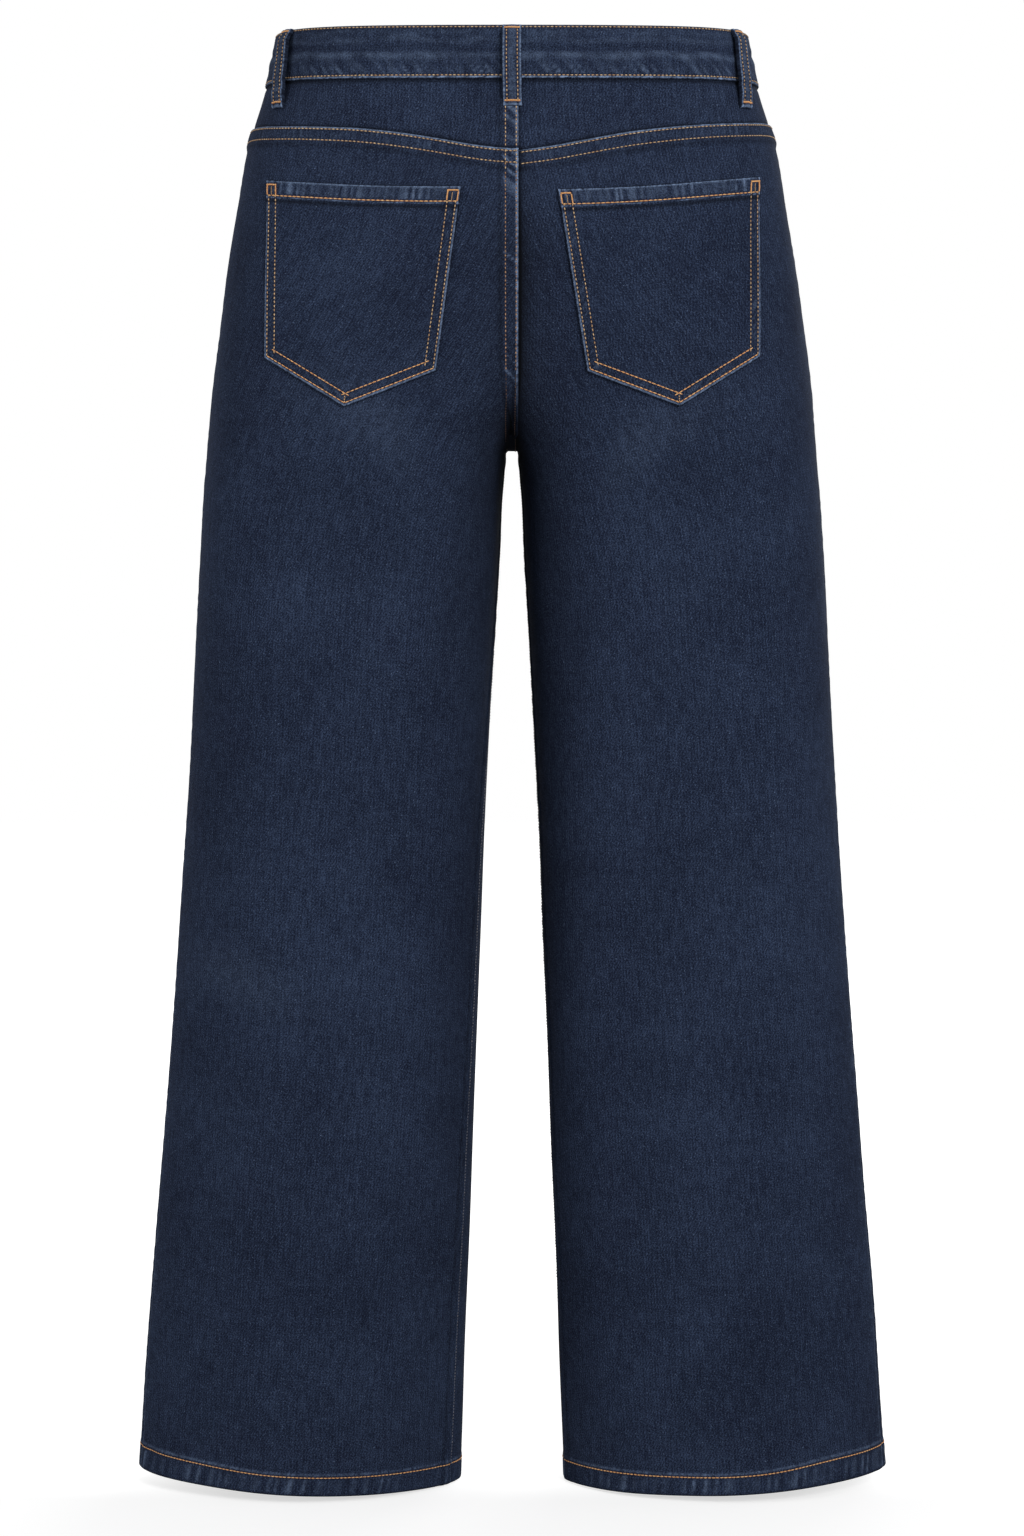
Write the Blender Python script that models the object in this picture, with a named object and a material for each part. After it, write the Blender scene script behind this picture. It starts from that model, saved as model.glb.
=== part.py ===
"""Wide leg jeans, filled out as when they are worn, with nobody in them.

Metres, +Z up. The wearer faces +Y, so the back of the jeans faces -Y and the wearer's right is +X.
The origin is the middle of the waist opening, half way up the waistband.

Each side of the jeans is a tube. Its level sections are rings: a ring is walked by an angle that is
0 at the outer side, 90 degrees at the back, 180 degrees at the inner side and -90 degrees at the front.
Below the crotch the rings are the two legs. Above it they reach past the middle plane, which cuts them
along the back and front rise.
"""

from collections import namedtuple

import bmesh
import bpy
import numpy as np
from mathutils import Matrix, Vector

MM = 0.001

# Cloth and seams
CLOTH = 1.4 * MM  # one layer of denim with its seam turnings
HEM_WALL = 2.8 * MM  # the hem is folded twice
SEAM_GAP = 0.3 * MM  # between pieces that are sewn together

# Heights
BAND_TOP = 19.5 * MM  # waistband edges, at the sides
BAND_BOTTOM = -18.0 * MM
BACK_DIP = 2.5 * MM  # how much lower the waistband lies at centre back
FRONT_DIP = 14.0 * MM  # and at centre front
YOKE_SIDE = -44.0 * MM  # about where the yoke seam meets the outseams
CROTCH = -273.0 * MM
HEM_SIDE = -1012.5 * MM  # hem edge at the outer side of a leg
HEM_TILT = 9.5 * MM  # how much lower it is at the inner side
HEM_HEIGHT = 14.0 * MM

# Waistband
BAND_PROUD = 1.2 * MM  # the band's outer face stands off the cloth below it
BAND_WALL = 3.0 * MM
BAND_UNDER_END = -24.0 * MM  # x of the end that lies under, on the wearer's right
BAND_OVER_END = 18.0 * MM  # x of the end that laps over it, on the wearer's left

# Fly: the left front laps over the right as far as this
FLY_REACH = BAND_OVER_END
FLY_END = -150.0 * MM
FLY_TURN = 18.0 * MM  # height over which its edge runs back to the middle seam

# Hip pocket scoops in the front panels
SCOOP_DEPTH = -98.0 * MM  # lowest point, at the outseam
SCOOP_X = 92.0 * MM  # where the scoop meets the waistband, from the middle
FACING_UNDERLAP = 16.0 * MM  # the facing runs on this far behind the front panel

# Belt loops
LOOP_WIDTH = 13.5 * MM
LOOP_WALL = 2.4 * MM
LOOP_STAND = 3.2 * MM  # how far a loop stands off the band
LOOP_TOP = -0.6 * MM  # its top edge, below the band's top edge
LOOP_TAIL = 19.0 * MM  # its lower end, below the band's bottom edge

# Shank button
BUTTON_RADIUS = 8.5 * MM
BUTTON_HEIGHT = 4.0 * MM

# The rings, in millimetres. width is the outer side's distance from the middle plane, and crown that of
# the ring's deepest points. gap is half the space between the legs, at the back and at the front: below
# zero the two rings run into each other and the middle plane cuts them. back and front are the depths
# from the side seams. fullness squares a ring's corners.
Section = namedtuple("Section", "height width crown gap_back gap_front back front fullness")
SECTIONS = [
    Section(24, 166, 0, -166, -166, 105, 102, 0.035),
    Section(-20, 175.6, 0, -175.6, -175.6, 111, 106, 0.050),
    Section(-60, 187.4, 2, -187, -187.4, 118, 110, 0.073),
    Section(-105, 195.2, 13, -184, -195, 127, 114, 0.083),
    Section(-150, 203, 33, -154, -200, 133, 116.5, 0.076),
    Section(-190, 208.4, 55, -112, -176, 136, 117, 0.064),
    Section(-218, 212.2, 70, -69, -128, 136, 116, 0.058),
    Section(-238, 214.5, 80, -36, -76, 134.5, 115, 0.055),
    Section(-256, 216, 88, -12, -27, 132.5, 114, 0.053),
    Section(-267, 217, 93, -3.5, -3.5, 130.5, 113, 0.053),
    Section(-273, 217.5, 95.5, 0.3, 0.3, 129.5, 112.5, 0.053),
    Section(-276, 217.8, 96.5, 3.4, 3.4, 129, 112.3, 0.053),
    Section(-283, 218.3, 98.8, 4.5, 4.5, 127.7, 111.8, 0.053),
    Section(-300, 220, 104, 6.0, 6.0, 124, 110, 0.051),
    Section(-350, 223.5, 114, 9.4, 9.4, 116, 105, 0.045),
    Section(-430, 228, 121, 14.0, 14.0, 107, 98, 0.034),
    Section(-530, 234, 126.5, 19.0, 19.0, 98.5, 91.5, 0.020),
    Section(-640, 242, 132.7, 23.4, 23.4, 91.5, 86, 0.008),
    Section(-760, 251.5, 139.7, 27.9, 27.9, 86.5, 82, -0.004),
    Section(-880, 262, 147.3, 32.6, 32.6, 83.5, 79.5, -0.016),
    Section(-1030, 273, 155.5, 38.0, 38.0, 82, 78, -0.030),
]

# The largest soft folds: ridges, and troughs where the height is below zero. side is 1 for the wearer's
# right. The middle and the spread are ring angles in degrees, drift is how far the fold wanders on the
# way down, and the rest is in millimetres.
Fold = namedtuple("Fold", "side middle spread drift top bottom height")
FOLDS = [
    Fold(1, 62, 20, 8, -330, -760, 3.2),
    Fold(1, 116, 15, -10, -420, -1060, -2.6),
    Fold(1, 142, 13, -6, -520, -1060, 2.0),
    Fold(1, -75, 18, 8, -300, -820, 3.0),
    Fold(1, -120, 14, 6, -480, -1060, -2.4),
    Fold(-1, 78, 18, -10, -370, -860, 2.6),
    Fold(-1, 46, 14, 6, -520, -1060, -2.2),
    Fold(-1, 132, 14, -8, -460, -1060, 2.2),
    Fold(-1, -70, 19, -8, -340, -880, 2.8),
    Fold(-1, -112, 13, 8, -500, -1060, -2.2),
]

# Height of the yoke seam on each side, at distances from the middle, in millimetres
YokePoint = namedtuple("YokePoint", "x right left")
YOKE_LINE = [
    YokePoint(0, -70.4, -69.2),
    YokePoint(25, -66.9, -65.8),
    YokePoint(50, -62.0, -61.2),
    YokePoint(75, -57.3, -57.3),
    YokePoint(100, -54.0, -54.5),
    YokePoint(130, -51.1, -52.7),
    YokePoint(160, -48.5, -51.0),
    YokePoint(184, -45.5, -48.2),
]

# How far the seams lie round the back of a leg, in millimetres of cloth
SeamPlace = namedtuple("SeamPlace", "inseam outseam")
SEAM_PLACES = {1: SeamPlace(9.0, 13.0), -1: SeamPlace(24.0, 12.0)}
INSEAM_TURN = 300 * MM  # the inseam reaches its place this far below the crotch

# Back pocket corners, seen square from behind, in millimetres: x from the middle, and height
PocketCorner = namedtuple("PocketCorner", "x height")
POCKETS = {
    1: [
        PocketCorner(32.2, -97.7),
        PocketCorner(171.0, -87.4),
        PocketCorner(170.7, -210.9),
        PocketCorner(115.3, -245.0),
        PocketCorner(52.1, -221.6),
    ],
    -1: [
        PocketCorner(-35.5, -95.6),
        PocketCorner(-169.2, -89.9),
        PocketCorner(-170.1, -212.0),
        PocketCorner(-115.3, -245.3),
        PocketCorner(-52.5, -221.1),
    ],
}

POCKET_SAG = 1.8 * MM  # the middle of a pocket's top edge lies this far below the line between its corners

# Belt loops: ring angle at the waistband's top and at the loop's tail, on the right side
LoopPlace = namedtuple("LoopPlace", "name side top_angle tail_angle")
LOOPS = [
    LoopPlace("belt_loop_back", 1, 90.0, 90.0),
    LoopPlace("belt_loop_side_right", 1, 25.5, 33.5),
    LoopPlace("belt_loop_side_left", -1, 25.5, 33.5),
    LoopPlace("belt_loop_front_right", 1, -50.0, -55.5),
    LoopPlace("belt_loop_front_left", -1, -50.0, -55.5),
]

# Levels of the cloth's rows at the outseam, in millimetres. Neighbours share them, so that their edges
# stay side by side.
YOKE_LEVELS = [-18, -24.5, -31, -37.5]
SEAT_LEVELS = [-44, -66, -98, -124, -150, -178, -204, -226, -244, -257, -267, -273, -276, -283, -296, -318]
LEG_LEVELS = [-360, -430, -515, -605, -700, -800, -900, -975]
BACK_COLUMNS = 12
FRONT_COLUMNS = 12
BAND_COLUMNS = 56

SIDE_NAMES = {1: "right", -1: "left"}


def smooth_step(value):
    """0 below 0, 1 above 1, and an even curve between them."""
    held = np.clip(value, 0.0, 1.0)
    return held * held * (3.0 - 2.0 * held)


def smooth_curve(place, places, values):
    """A smooth curve through values at rising places."""
    held = np.clip(place, places[0], places[-1])
    low = np.clip(np.searchsorted(places, held, side="right") - 1, 0, len(places) - 2)
    span = places[low + 1] - places[low]
    t = (held - places[low]) / span
    slopes = np.gradient(values, places)
    return (
        (1 + 2 * t) * (1 - t) ** 2 * values[low]
        + t * (1 - t) ** 2 * span * slopes[low]
        + t * t * (3 - 2 * t) * values[low + 1]
        + t * t * (t - 1) * span * slopes[low + 1]
    )


def section_at(height):
    """The ring's sizes at a height, in metres, on a smooth curve through the table."""
    rows = np.array(SECTIONS[::-1], dtype=float)
    heights = rows[:, 0] * MM
    held = np.clip(np.asarray(height, dtype=float), heights[0], heights[-1])
    found = {"height": held}
    for index, name in enumerate(Section._fields[1:], start=1):
        values = rows[:, index] * (1.0 if name == "fullness" else MM)
        found[name] = smooth_curve(held, heights, values)
    return Section(**found)


def ring_across(angle, square):
    """-1 at a ring's inner side and 1 at its outer side."""
    return (np.cos(angle) - square * np.cos(3 * angle)) / (1 - square)


def ring_along(angle, square):
    """1 at a ring's back and -1 at its front."""
    return (np.sin(angle) + square * np.sin(3 * angle)) / (1 - square)


def angle_at(height, back, x):
    """The ring angle at which the back or front of a ring is x from the middle plane, or its inner side."""
    size = section_at(height)
    gap = np.where(back, size.gap_back, size.gap_front)
    reach = np.where(x > size.crown, size.width - size.crown, size.crown - gap)
    across = np.clip((x - size.crown) / reach, -1.0, 1.0)
    wanted = across * (1 - size.fullness)
    cosine = across
    for _ in range(12):
        error = cosine * (1 + 3 * size.fullness) - 4 * size.fullness * cosine**3 - wanted
        cosine = cosine - error / (1 + 3 * size.fullness - 12 * size.fullness * cosine**2)
    angle = np.arccos(np.clip(cosine, -1.0, 1.0))
    return np.where(back, angle, -angle)


def plain_ring(height, angle):
    """Points of the right-hand ring with no folds, for angles in radians."""
    size = section_at(height)
    back = np.sin(angle) > 0
    gap = np.where(back, size.gap_back, size.gap_front)
    depth = np.where(back, size.back, size.front)
    reach = np.where(np.cos(angle) > 0, size.width - size.crown, size.crown - gap)
    x = size.crown + reach * ring_across(angle, size.fullness)
    mirrored = angle_at(height, back, np.abs(x))  # past the middle plane, cloth follows the other side
    y = -depth * ring_along(np.where(x < 0, mirrored, angle), size.fullness)
    return np.stack(np.broadcast_arrays(x, y, np.asarray(height, dtype=float)), axis=-1)


def ring_outward(height, angle):
    """Unit vectors square to the plain ring's surface, pointing out of the cloth."""
    step_angle = 1e-3
    step_height = 0.5 * MM
    along = plain_ring(height, angle + step_angle) - plain_ring(height, angle - step_angle)
    up = plain_ring(height + step_height, angle) - plain_ring(height - step_height, angle)
    normal = np.cross(up, along)
    return normal / np.linalg.norm(normal, axis=-1, keepdims=True)


def fold_height(side, height, angle):
    """How far the soft folds lift the cloth."""
    lift = np.zeros(np.broadcast(height, angle).shape)
    for fold in FOLDS:
        if fold.side != side:
            continue
        top, bottom = fold.top * MM, fold.bottom * MM
        down = np.clip((top - height) / (top - bottom), 0.0, 1.0)
        middle = np.radians(fold.middle + fold.drift * down)
        away = (angle - middle) / np.radians(fold.spread)
        fade = np.sin(np.pi * down) if fold.bottom > -1000 else smooth_step(down / 0.4) * (1 - 0.6 * down)
        lift = lift + fold.height * MM * fade * np.exp(-away * away)
    return lift


def cloth_point(side, height, angle, offset=0.0):
    """A point of one side's cloth, moved out by offset. side is 1 for the right and -1 for the left."""
    height, angle = np.broadcast_arrays(np.asarray(height, dtype=float), np.asarray(angle, dtype=float))
    lift = fold_height(side, height, angle) + offset
    point = plain_ring(height, angle) + ring_outward(height, angle) * lift[..., None]
    return point * np.array([side, 1.0, 1.0])


def seam_angle(height, depth, length):
    """The ring angle that a length of cloth covers beside the inner or outer side."""
    square = section_at(height).fullness
    return length * (1 - square) / (depth * (1 + 3 * square))


def outseam_angle(side, height):
    back = section_at(height).back
    return seam_angle(height, back, SEAM_PLACES[side].outseam * MM)


def inseam_turn(side, height):
    """How far the inseam lies round the back of the leg, as an angle. At the crotch it is 0."""
    below = smooth_step((CROTCH - height) / INSEAM_TURN)
    back = section_at(height).back
    return below * seam_angle(height, back, SEAM_PLACES[side].inseam * MM)


def half_gap_angle(height):
    return seam_angle(height, section_at(height).back, SEAM_GAP / 2)


def band_dip(angle):
    """How much lower the waistband lies than at the sides."""
    dip = np.where(np.sin(angle) > 0, BACK_DIP, FRONT_DIP)
    return dip * np.sin(angle) ** 2


def fly_edge(height):
    """x of the left front's edge, which laps over the right front down to the end of the fly."""
    return FLY_REACH * smooth_step((height - FLY_END) / FLY_TURN + 1.0)


def yoke_seam(side, x):
    """Height of the yoke seam at a distance from the middle plane."""
    line = np.array(YOKE_LINE) * MM
    return smooth_curve(np.abs(x), line[:, 0], line[:, 1 if side == 1 else 2])


def back_angles(side, height, fractions):
    """Ring angles of the back cloth, from the middle or the inseam (0) to the outseam (1)."""
    middle = angle_at(height, True, SEAM_GAP / 2)
    inner = np.minimum(middle, np.pi - inseam_turn(side, height) - half_gap_angle(height))
    outer = outseam_angle(side, height) + half_gap_angle(height)
    return inner + (outer - inner) * fractions


def front_angles(side, height, fractions):
    """Ring angles of the front cloth, from the middle or the inseam (0) to the outseam (1)."""
    middle = angle_at(height, False, fly_edge(height) * side + SEAM_GAP / 2)
    at_inseam = -np.pi - inseam_turn(side, height) + half_gap_angle(height)
    inner = np.where(height < CROTCH, at_inseam, np.maximum(middle, at_inseam))
    outer = outseam_angle(side, height) - half_gap_angle(height)
    return inner + (outer - inner) * fractions


def warped_levels(levels, top, top_reach, hem):
    """Row heights for each column: the first row follows top, the last ones the hem."""
    rows = np.array(levels, dtype=float)[:, None] * MM
    from_top = smooth_step(1 - (rows[0] - rows) / top_reach)
    to_hem = smooth_step(1 - (rows - rows[-1]) / (200 * MM))
    return rows + (top - rows[0]) * from_top + (hem - rows[-1]) * to_hem


def hem_line(side, angles_of, fractions):
    """Height of the hem edge along a panel: square to the leg, so lower at the inner side."""
    angles = angles_of(side, HEM_SIDE, fractions)
    x = plain_ring(np.full_like(angles, HEM_SIDE), angles)[..., 0]
    size = section_at(HEM_SIDE)
    return HEM_SIDE - HEM_TILT * (size.width - x) / (size.width - size.gap_back)


def panel_grids(side, levels, columns, angles_of, top_of):
    """Heights, angles and wall thickness of a leg panel's rows and columns, top to hem."""
    fractions = np.linspace(0.0, 1.0, columns + 1)
    hem = hem_line(side, angles_of, fractions)
    fold_line = 0.3 * MM
    rows = warped_levels(levels + LEG_LEVELS + [HEM_SIDE / MM], top_of(fractions), 110 * MM, hem)
    hem_rows = np.stack([hem + HEM_HEIGHT + fold_line, hem + HEM_HEIGHT])
    heights = np.concatenate([rows[:-1], hem_rows, rows[-1:]])
    walls = np.full(len(heights), CLOTH)
    walls[-2:] = HEM_WALL
    angles = np.stack([angles_of(side, row, fractions) for row in heights])
    return heights, angles, np.broadcast_to(walls[:, None], heights.shape)


def back_top(side):
    def height(fractions):
        angles = back_angles(side, YOKE_SIDE, fractions)
        x = plain_ring(np.full_like(angles, YOKE_SIDE), angles)[..., 0]
        return yoke_seam(side, x) - SEAM_GAP / 2

    return height


def front_top(side):
    def height(fractions):
        angles = front_angles(side, BAND_BOTTOM, fractions)
        return BAND_BOTTOM - band_dip(angles) - SEAM_GAP

    return height


def finish_mesh(name, bm, colour, roughness, metallic=0.0):
    """Turns a bmesh into a named object with a material of its own."""
    bmesh.ops.recalc_face_normals(bm, faces=bm.faces)
    mesh = bpy.data.meshes.new(name)
    bm.to_mesh(mesh)
    bm.free()
    part = bpy.data.objects.new(name, mesh)
    bpy.context.scene.collection.objects.link(part)
    material = bpy.data.materials.new(name + "_material")
    material.use_nodes = True
    shader = material.node_tree.nodes["Principled BSDF"]
    shader.inputs["Base Color"].default_value = (*colour, 1.0)
    shader.inputs["Roughness"].default_value = roughness
    shader.inputs["Metallic"].default_value = metallic
    mesh.materials.append(material)
    return part


def cloth_bmesh(outer, inner):
    """A closed wall between two grids of points, [row, column], with the same diagonals on both faces."""
    rows, columns = outer.shape[:2]
    bm = bmesh.new()
    near = [[bm.verts.new(point) for point in line] for line in outer]
    far = [[bm.verts.new(point) for point in line] for line in inner]
    for face in (near, far):
        for r in range(rows - 1):
            for c in range(columns - 1):
                bm.faces.new((face[r][c], face[r][c + 1], face[r + 1][c + 1]))
                bm.faces.new((face[r][c], face[r + 1][c + 1], face[r + 1][c]))
    last_row, last_column = rows - 1, columns - 1
    rim = [(0, c) for c in range(columns)]
    rim += [(r, last_column) for r in range(1, rows)]
    rim += [(last_row, c) for c in range(last_column - 1, -1, -1)]
    rim += [(r, 0) for r in range(last_row - 1, 0, -1)]
    for (r1, c1), (r2, c2) in zip(rim, rim[1:] + rim[:1]):
        bm.faces.new((near[r1][c1], near[r2][c2], far[r2][c2], far[r1][c1]))
    return bm


DENIM = (0.022, 0.034, 0.075)
DENIM_ROUGHNESS = 0.85


def cloth_wall(name, side, heights, angles, walls, offset=0.0):
    """A piece of denim on one side's surface: its outer face is moved out by offset."""
    outer = cloth_point(side, heights, angles, offset)
    inner = cloth_point(side, heights, angles, offset - walls)
    return finish_mesh(name, cloth_bmesh(outer, inner), DENIM, DENIM_ROUGHNESS)


def prism(name, outline, y_low, y_high):
    """A hidden cutter: an outline of (x, height) pairs, pushed along Y."""
    bm = bmesh.new()
    face = bm.faces.new([bm.verts.new((x, y_low, z)) for x, z in outline])
    pushed = bmesh.ops.extrude_face_region(bm, geom=[face])["geom"]
    moved = [item for item in pushed if isinstance(item, bmesh.types.BMVert)]
    bmesh.ops.translate(bm, verts=moved, vec=Vector((0, y_high - y_low, 0)))
    cutter = finish_mesh(name, bm, DENIM, DENIM_ROUGHNESS)
    cutter.hide_render = True
    cutter.display_type = "WIRE"
    return cutter


def cut(part, cutter, operation):
    modifier = part.modifiers.new(operation.lower(), "BOOLEAN")
    modifier.operation = operation
    modifier.object = cutter


def scoop_outline(side, inset):
    """The hip pocket opening from the front: a quarter of an oval, from the waistband to the outseam."""
    steps = 10
    x_start = SCOOP_X - inset
    x_end = section_at(SCOOP_DEPTH).width + 6 * MM
    z_start = BAND_BOTTOM
    z_end = SCOOP_DEPTH - inset
    turn = np.linspace(0.0, np.pi / 2, steps + 1)
    curve_x = x_start + (x_end - x_start) * (1 - np.cos(turn))
    curve_z = z_start - FRONT_DIP + (z_end - z_start + FRONT_DIP) * np.sin(turn)
    outline = [(side * x, z) for x, z in zip(curve_x, curve_z)]
    above = 60 * MM
    return outline + [(side * x_end, above), (side * x_start, above)]


def make_front(side):
    """A front panel with its pocket scoop, and the facing that shows in the scoop."""
    levels = YOKE_LEVELS + SEAT_LEVELS
    heights, angles, walls = panel_grids(side, levels, FRONT_COLUMNS, front_angles, front_top(side))
    name = SIDE_NAMES[side]
    panel = cloth_wall("front_panel_" + name, side, heights, angles, walls)
    opening = prism("scoop_cutter_" + name, scoop_outline(side, 0.0), -20 * MM, 150 * MM)
    cut(panel, opening, "DIFFERENCE")
    upper = slice(0, 8)
    half = slice(FRONT_COLUMNS // 2 - 2, None)
    facing = cloth_wall(
        "pocket_facing_" + name,
        side,
        heights[upper, half],
        angles[upper, half],
        walls[upper, half],
        offset=-CLOTH - SEAM_GAP,
    )
    reach = prism("facing_cutter_" + name, scoop_outline(side, FACING_UNDERLAP), -20 * MM, 150 * MM)
    cut(facing, reach, "INTERSECT")


def make_back(side):
    """A back panel, and the patch pocket that lies on it."""
    heights, angles, walls = panel_grids(side, SEAT_LEVELS, BACK_COLUMNS, back_angles, back_top(side))
    name = SIDE_NAMES[side]
    cloth_wall("back_panel_" + name, side, heights, angles, walls)
    upper = slice(0, 9)
    pocket = cloth_wall(
        "back_pocket_" + name,
        side,
        heights[upper],
        angles[upper],
        walls[upper],
        offset=CLOTH + SEAM_GAP,
    )
    outline = [(corner.x * MM, corner.height * MM) for corner in POCKETS[side]]
    (x_in, z_in), (x_out, z_out) = outline[:2]
    outline.insert(1, ((x_in + x_out) / 2, (z_in + z_out) / 2 - POCKET_SAG))
    shape = prism("pocket_cutter_" + name, outline, -220 * MM, -10 * MM)
    cut(pocket, shape, "INTERSECT")


def make_yoke(side):
    """A back yoke, between the waistband and the yoke seam."""
    fractions = np.linspace(0.0, 1.0, BACK_COLUMNS + 1)
    top_angles = back_angles(side, BAND_BOTTOM, fractions)
    top = BAND_BOTTOM - band_dip(top_angles) - SEAM_GAP
    bottom = back_top(side)(fractions) + SEAM_GAP
    share = np.linspace(0.0, 1.0, len(YOKE_LEVELS) + 1)[:, None]
    heights = top + (bottom - top) * share
    angles = np.stack([back_angles(side, row, fractions) for row in heights])
    walls = np.full(heights.shape, CLOTH)
    cloth_wall("yoke_" + SIDE_NAMES[side], side, heights, angles, walls)


def make_waistband():
    """One band round the waist. Its right end steps in and lies under its left end at the front."""
    under, over = angle_at(0.0, False, np.array([-BAND_UNDER_END, BAND_OVER_END]))
    start = -np.pi - under
    end = 2 * np.pi + over
    angles = np.linspace(start, end, BAND_COLUMNS + 1)[None, :]
    share = np.array([0.0, 0.5, 1.0])[:, None]
    dip = band_dip(angles)
    heights = (BAND_TOP - dip) + (BAND_BOTTOM - BAND_TOP) * share
    x = plain_ring(np.zeros_like(angles), angles)[..., 0]
    step = 10 * MM
    past_lap = smooth_step((BAND_OVER_END + 4 * MM + step - x) / step)
    sink = np.where(angles < 0, past_lap, 0.0) * (BAND_WALL + SEAM_GAP)
    angles = np.broadcast_to(angles, heights.shape)
    outer = cloth_point(1, heights, angles, BAND_PROUD - sink)
    inner = cloth_point(1, heights, angles, BAND_PROUD - BAND_WALL - sink)
    finish_mesh("waistband", cloth_bmesh(outer, inner), DENIM, DENIM_ROUGHNESS)


def make_belt_loop(place):
    """A strap sewn down at the waistband's top edge and on the cloth below it, standing off between."""
    rows = 10
    share = np.linspace(0.0, 1.0, rows)[:, None]
    middle = np.radians(place.top_angle + (place.tail_angle - place.top_angle) * share)
    dip = band_dip(middle)
    top = BAND_TOP + LOOP_TOP - dip
    tail = BAND_BOTTOM - LOOP_TAIL - dip
    heights = top + (tail - top) * share
    rise = smooth_step(share / 0.16)
    fall = smooth_step((1 - share) / 0.2)
    on_band = BAND_PROUD * smooth_step((heights - BAND_BOTTOM + dip) / (6 * MM) + 1.0)
    back_face = SEAM_GAP + on_band + LOOP_STAND * rise * fall
    base = cloth_point(1, heights[:, 0], middle[:, 0])
    near = cloth_point(1, heights[:, 0], middle[:, 0] + 1e-3)
    across = (near - base) * np.array([1.0, 1.0, 0.0])
    across = across / np.linalg.norm(across, axis=1, keepdims=True)
    outward = ring_outward(heights[:, 0], middle[:, 0])
    mirror = np.array([place.side, 1.0, 1.0])
    sides = np.array([-0.5, 0.0, 0.5]) * LOOP_WIDTH
    inner = base[:, None] + across[:, None] * sides[:, None] + outward[:, None] * back_face[:, None]
    outer = inner + outward[:, None] * LOOP_WALL
    finish_mesh(place.name, cloth_bmesh(outer * mirror, inner * mirror), DENIM, DENIM_ROUGHNESS)


def make_button():
    """A domed shank button on the waistband's lapped end, turned round its own axis."""
    rim = BUTTON_RADIUS
    profile = [
        (0.0, 0.0),
        (rim * 0.9, 0.0),
        (rim, 0.25 * BUTTON_HEIGHT),
        (rim, 0.55 * BUTTON_HEIGHT),
        (rim * 0.92, 0.8 * BUTTON_HEIGHT),
        (rim * 0.78, 0.74 * BUTTON_HEIGHT),
        (rim * 0.5, 0.9 * BUTTON_HEIGHT),
        (0.0, BUTTON_HEIGHT),
    ]
    steps = 24
    bm = bmesh.new()
    verts = [bm.verts.new((radius, 0.0, lift)) for radius, lift in profile]
    edges = [bm.edges.new(pair) for pair in zip(verts, verts[1:])]
    bmesh.ops.spin(
        bm,
        geom=verts + edges,
        cent=(0, 0, 0),
        axis=(0, 0, 1),
        angle=2 * np.pi,
        steps=steps,
        use_merge=True,
    )
    bmesh.ops.remove_doubles(bm, verts=bm.verts, dist=1e-6)
    height = (BAND_TOP + BAND_BOTTOM) / 2 - FRONT_DIP
    front = np.array(-np.pi / 2)
    seat = cloth_point(1, np.array(height), front, BAND_PROUD + SEAM_GAP)
    outward = Vector(ring_outward(np.array(height), front))
    turn = outward.to_track_quat("Z", "Y").to_matrix().to_4x4()
    button = finish_mesh("shank_button", bm, (0.45, 0.27, 0.13), 0.35, metallic=1.0)
    button.matrix_world = Matrix.Translation(Vector(seat)) @ turn


def main():
    for old in list(bpy.data.objects):
        bpy.data.objects.remove(old, do_unlink=True)
    for side in SIDE_NAMES:
        make_back(side)
        make_front(side)
        make_yoke(side)
    make_waistband()
    for place in LOOPS:
        make_belt_loop(place)
    make_button()


main()
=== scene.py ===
"""The looks of the wide leg jeans: denim shells, seams, stitches and metal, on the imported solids.

Millimetres until a mesh is made, +Z up. The wearer faces +Y, so the back of the jeans faces -Y
and the wearer's right is +X. Each side of the jeans is a tube of level rings, as in the solids. A
ring's angle is 0 at the outer side, 90 degrees at the back, 180 degrees at the inner side and -90
degrees at the front.
"""

from collections import namedtuple

import bpy
import numpy as np
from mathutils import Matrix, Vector


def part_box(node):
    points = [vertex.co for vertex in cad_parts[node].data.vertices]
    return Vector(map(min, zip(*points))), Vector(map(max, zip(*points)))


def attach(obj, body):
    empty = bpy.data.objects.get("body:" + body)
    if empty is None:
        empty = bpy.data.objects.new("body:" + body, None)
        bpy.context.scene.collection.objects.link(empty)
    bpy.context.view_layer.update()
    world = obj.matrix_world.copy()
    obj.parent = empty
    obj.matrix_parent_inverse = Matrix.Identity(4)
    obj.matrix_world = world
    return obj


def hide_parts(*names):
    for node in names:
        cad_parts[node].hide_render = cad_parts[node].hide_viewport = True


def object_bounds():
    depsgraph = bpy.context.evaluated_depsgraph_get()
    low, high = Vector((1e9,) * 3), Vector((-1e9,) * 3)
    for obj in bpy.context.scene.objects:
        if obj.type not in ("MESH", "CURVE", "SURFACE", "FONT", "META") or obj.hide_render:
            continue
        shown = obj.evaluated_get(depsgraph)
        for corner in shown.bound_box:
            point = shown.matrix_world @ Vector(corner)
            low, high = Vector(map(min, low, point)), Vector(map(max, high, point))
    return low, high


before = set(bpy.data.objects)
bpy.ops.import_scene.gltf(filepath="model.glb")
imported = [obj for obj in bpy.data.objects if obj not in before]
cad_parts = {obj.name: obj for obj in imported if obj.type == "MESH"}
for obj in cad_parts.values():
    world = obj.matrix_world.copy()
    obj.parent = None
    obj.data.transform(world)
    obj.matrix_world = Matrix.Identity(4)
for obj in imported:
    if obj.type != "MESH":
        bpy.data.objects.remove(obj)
cad_low, cad_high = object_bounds()

MM = 0.001  # metres in a millimetre


def table(columns, *rows):
    """Rows with named columns."""
    row_type = namedtuple("Row", columns)
    return [row_type(*row) for row in rows]


# ---------------------------------------------------------------- sizes shared with the solids

CLOTH = 1.4
HEM_WALL = 2.8
SEAM_GAP = 0.3

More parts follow.
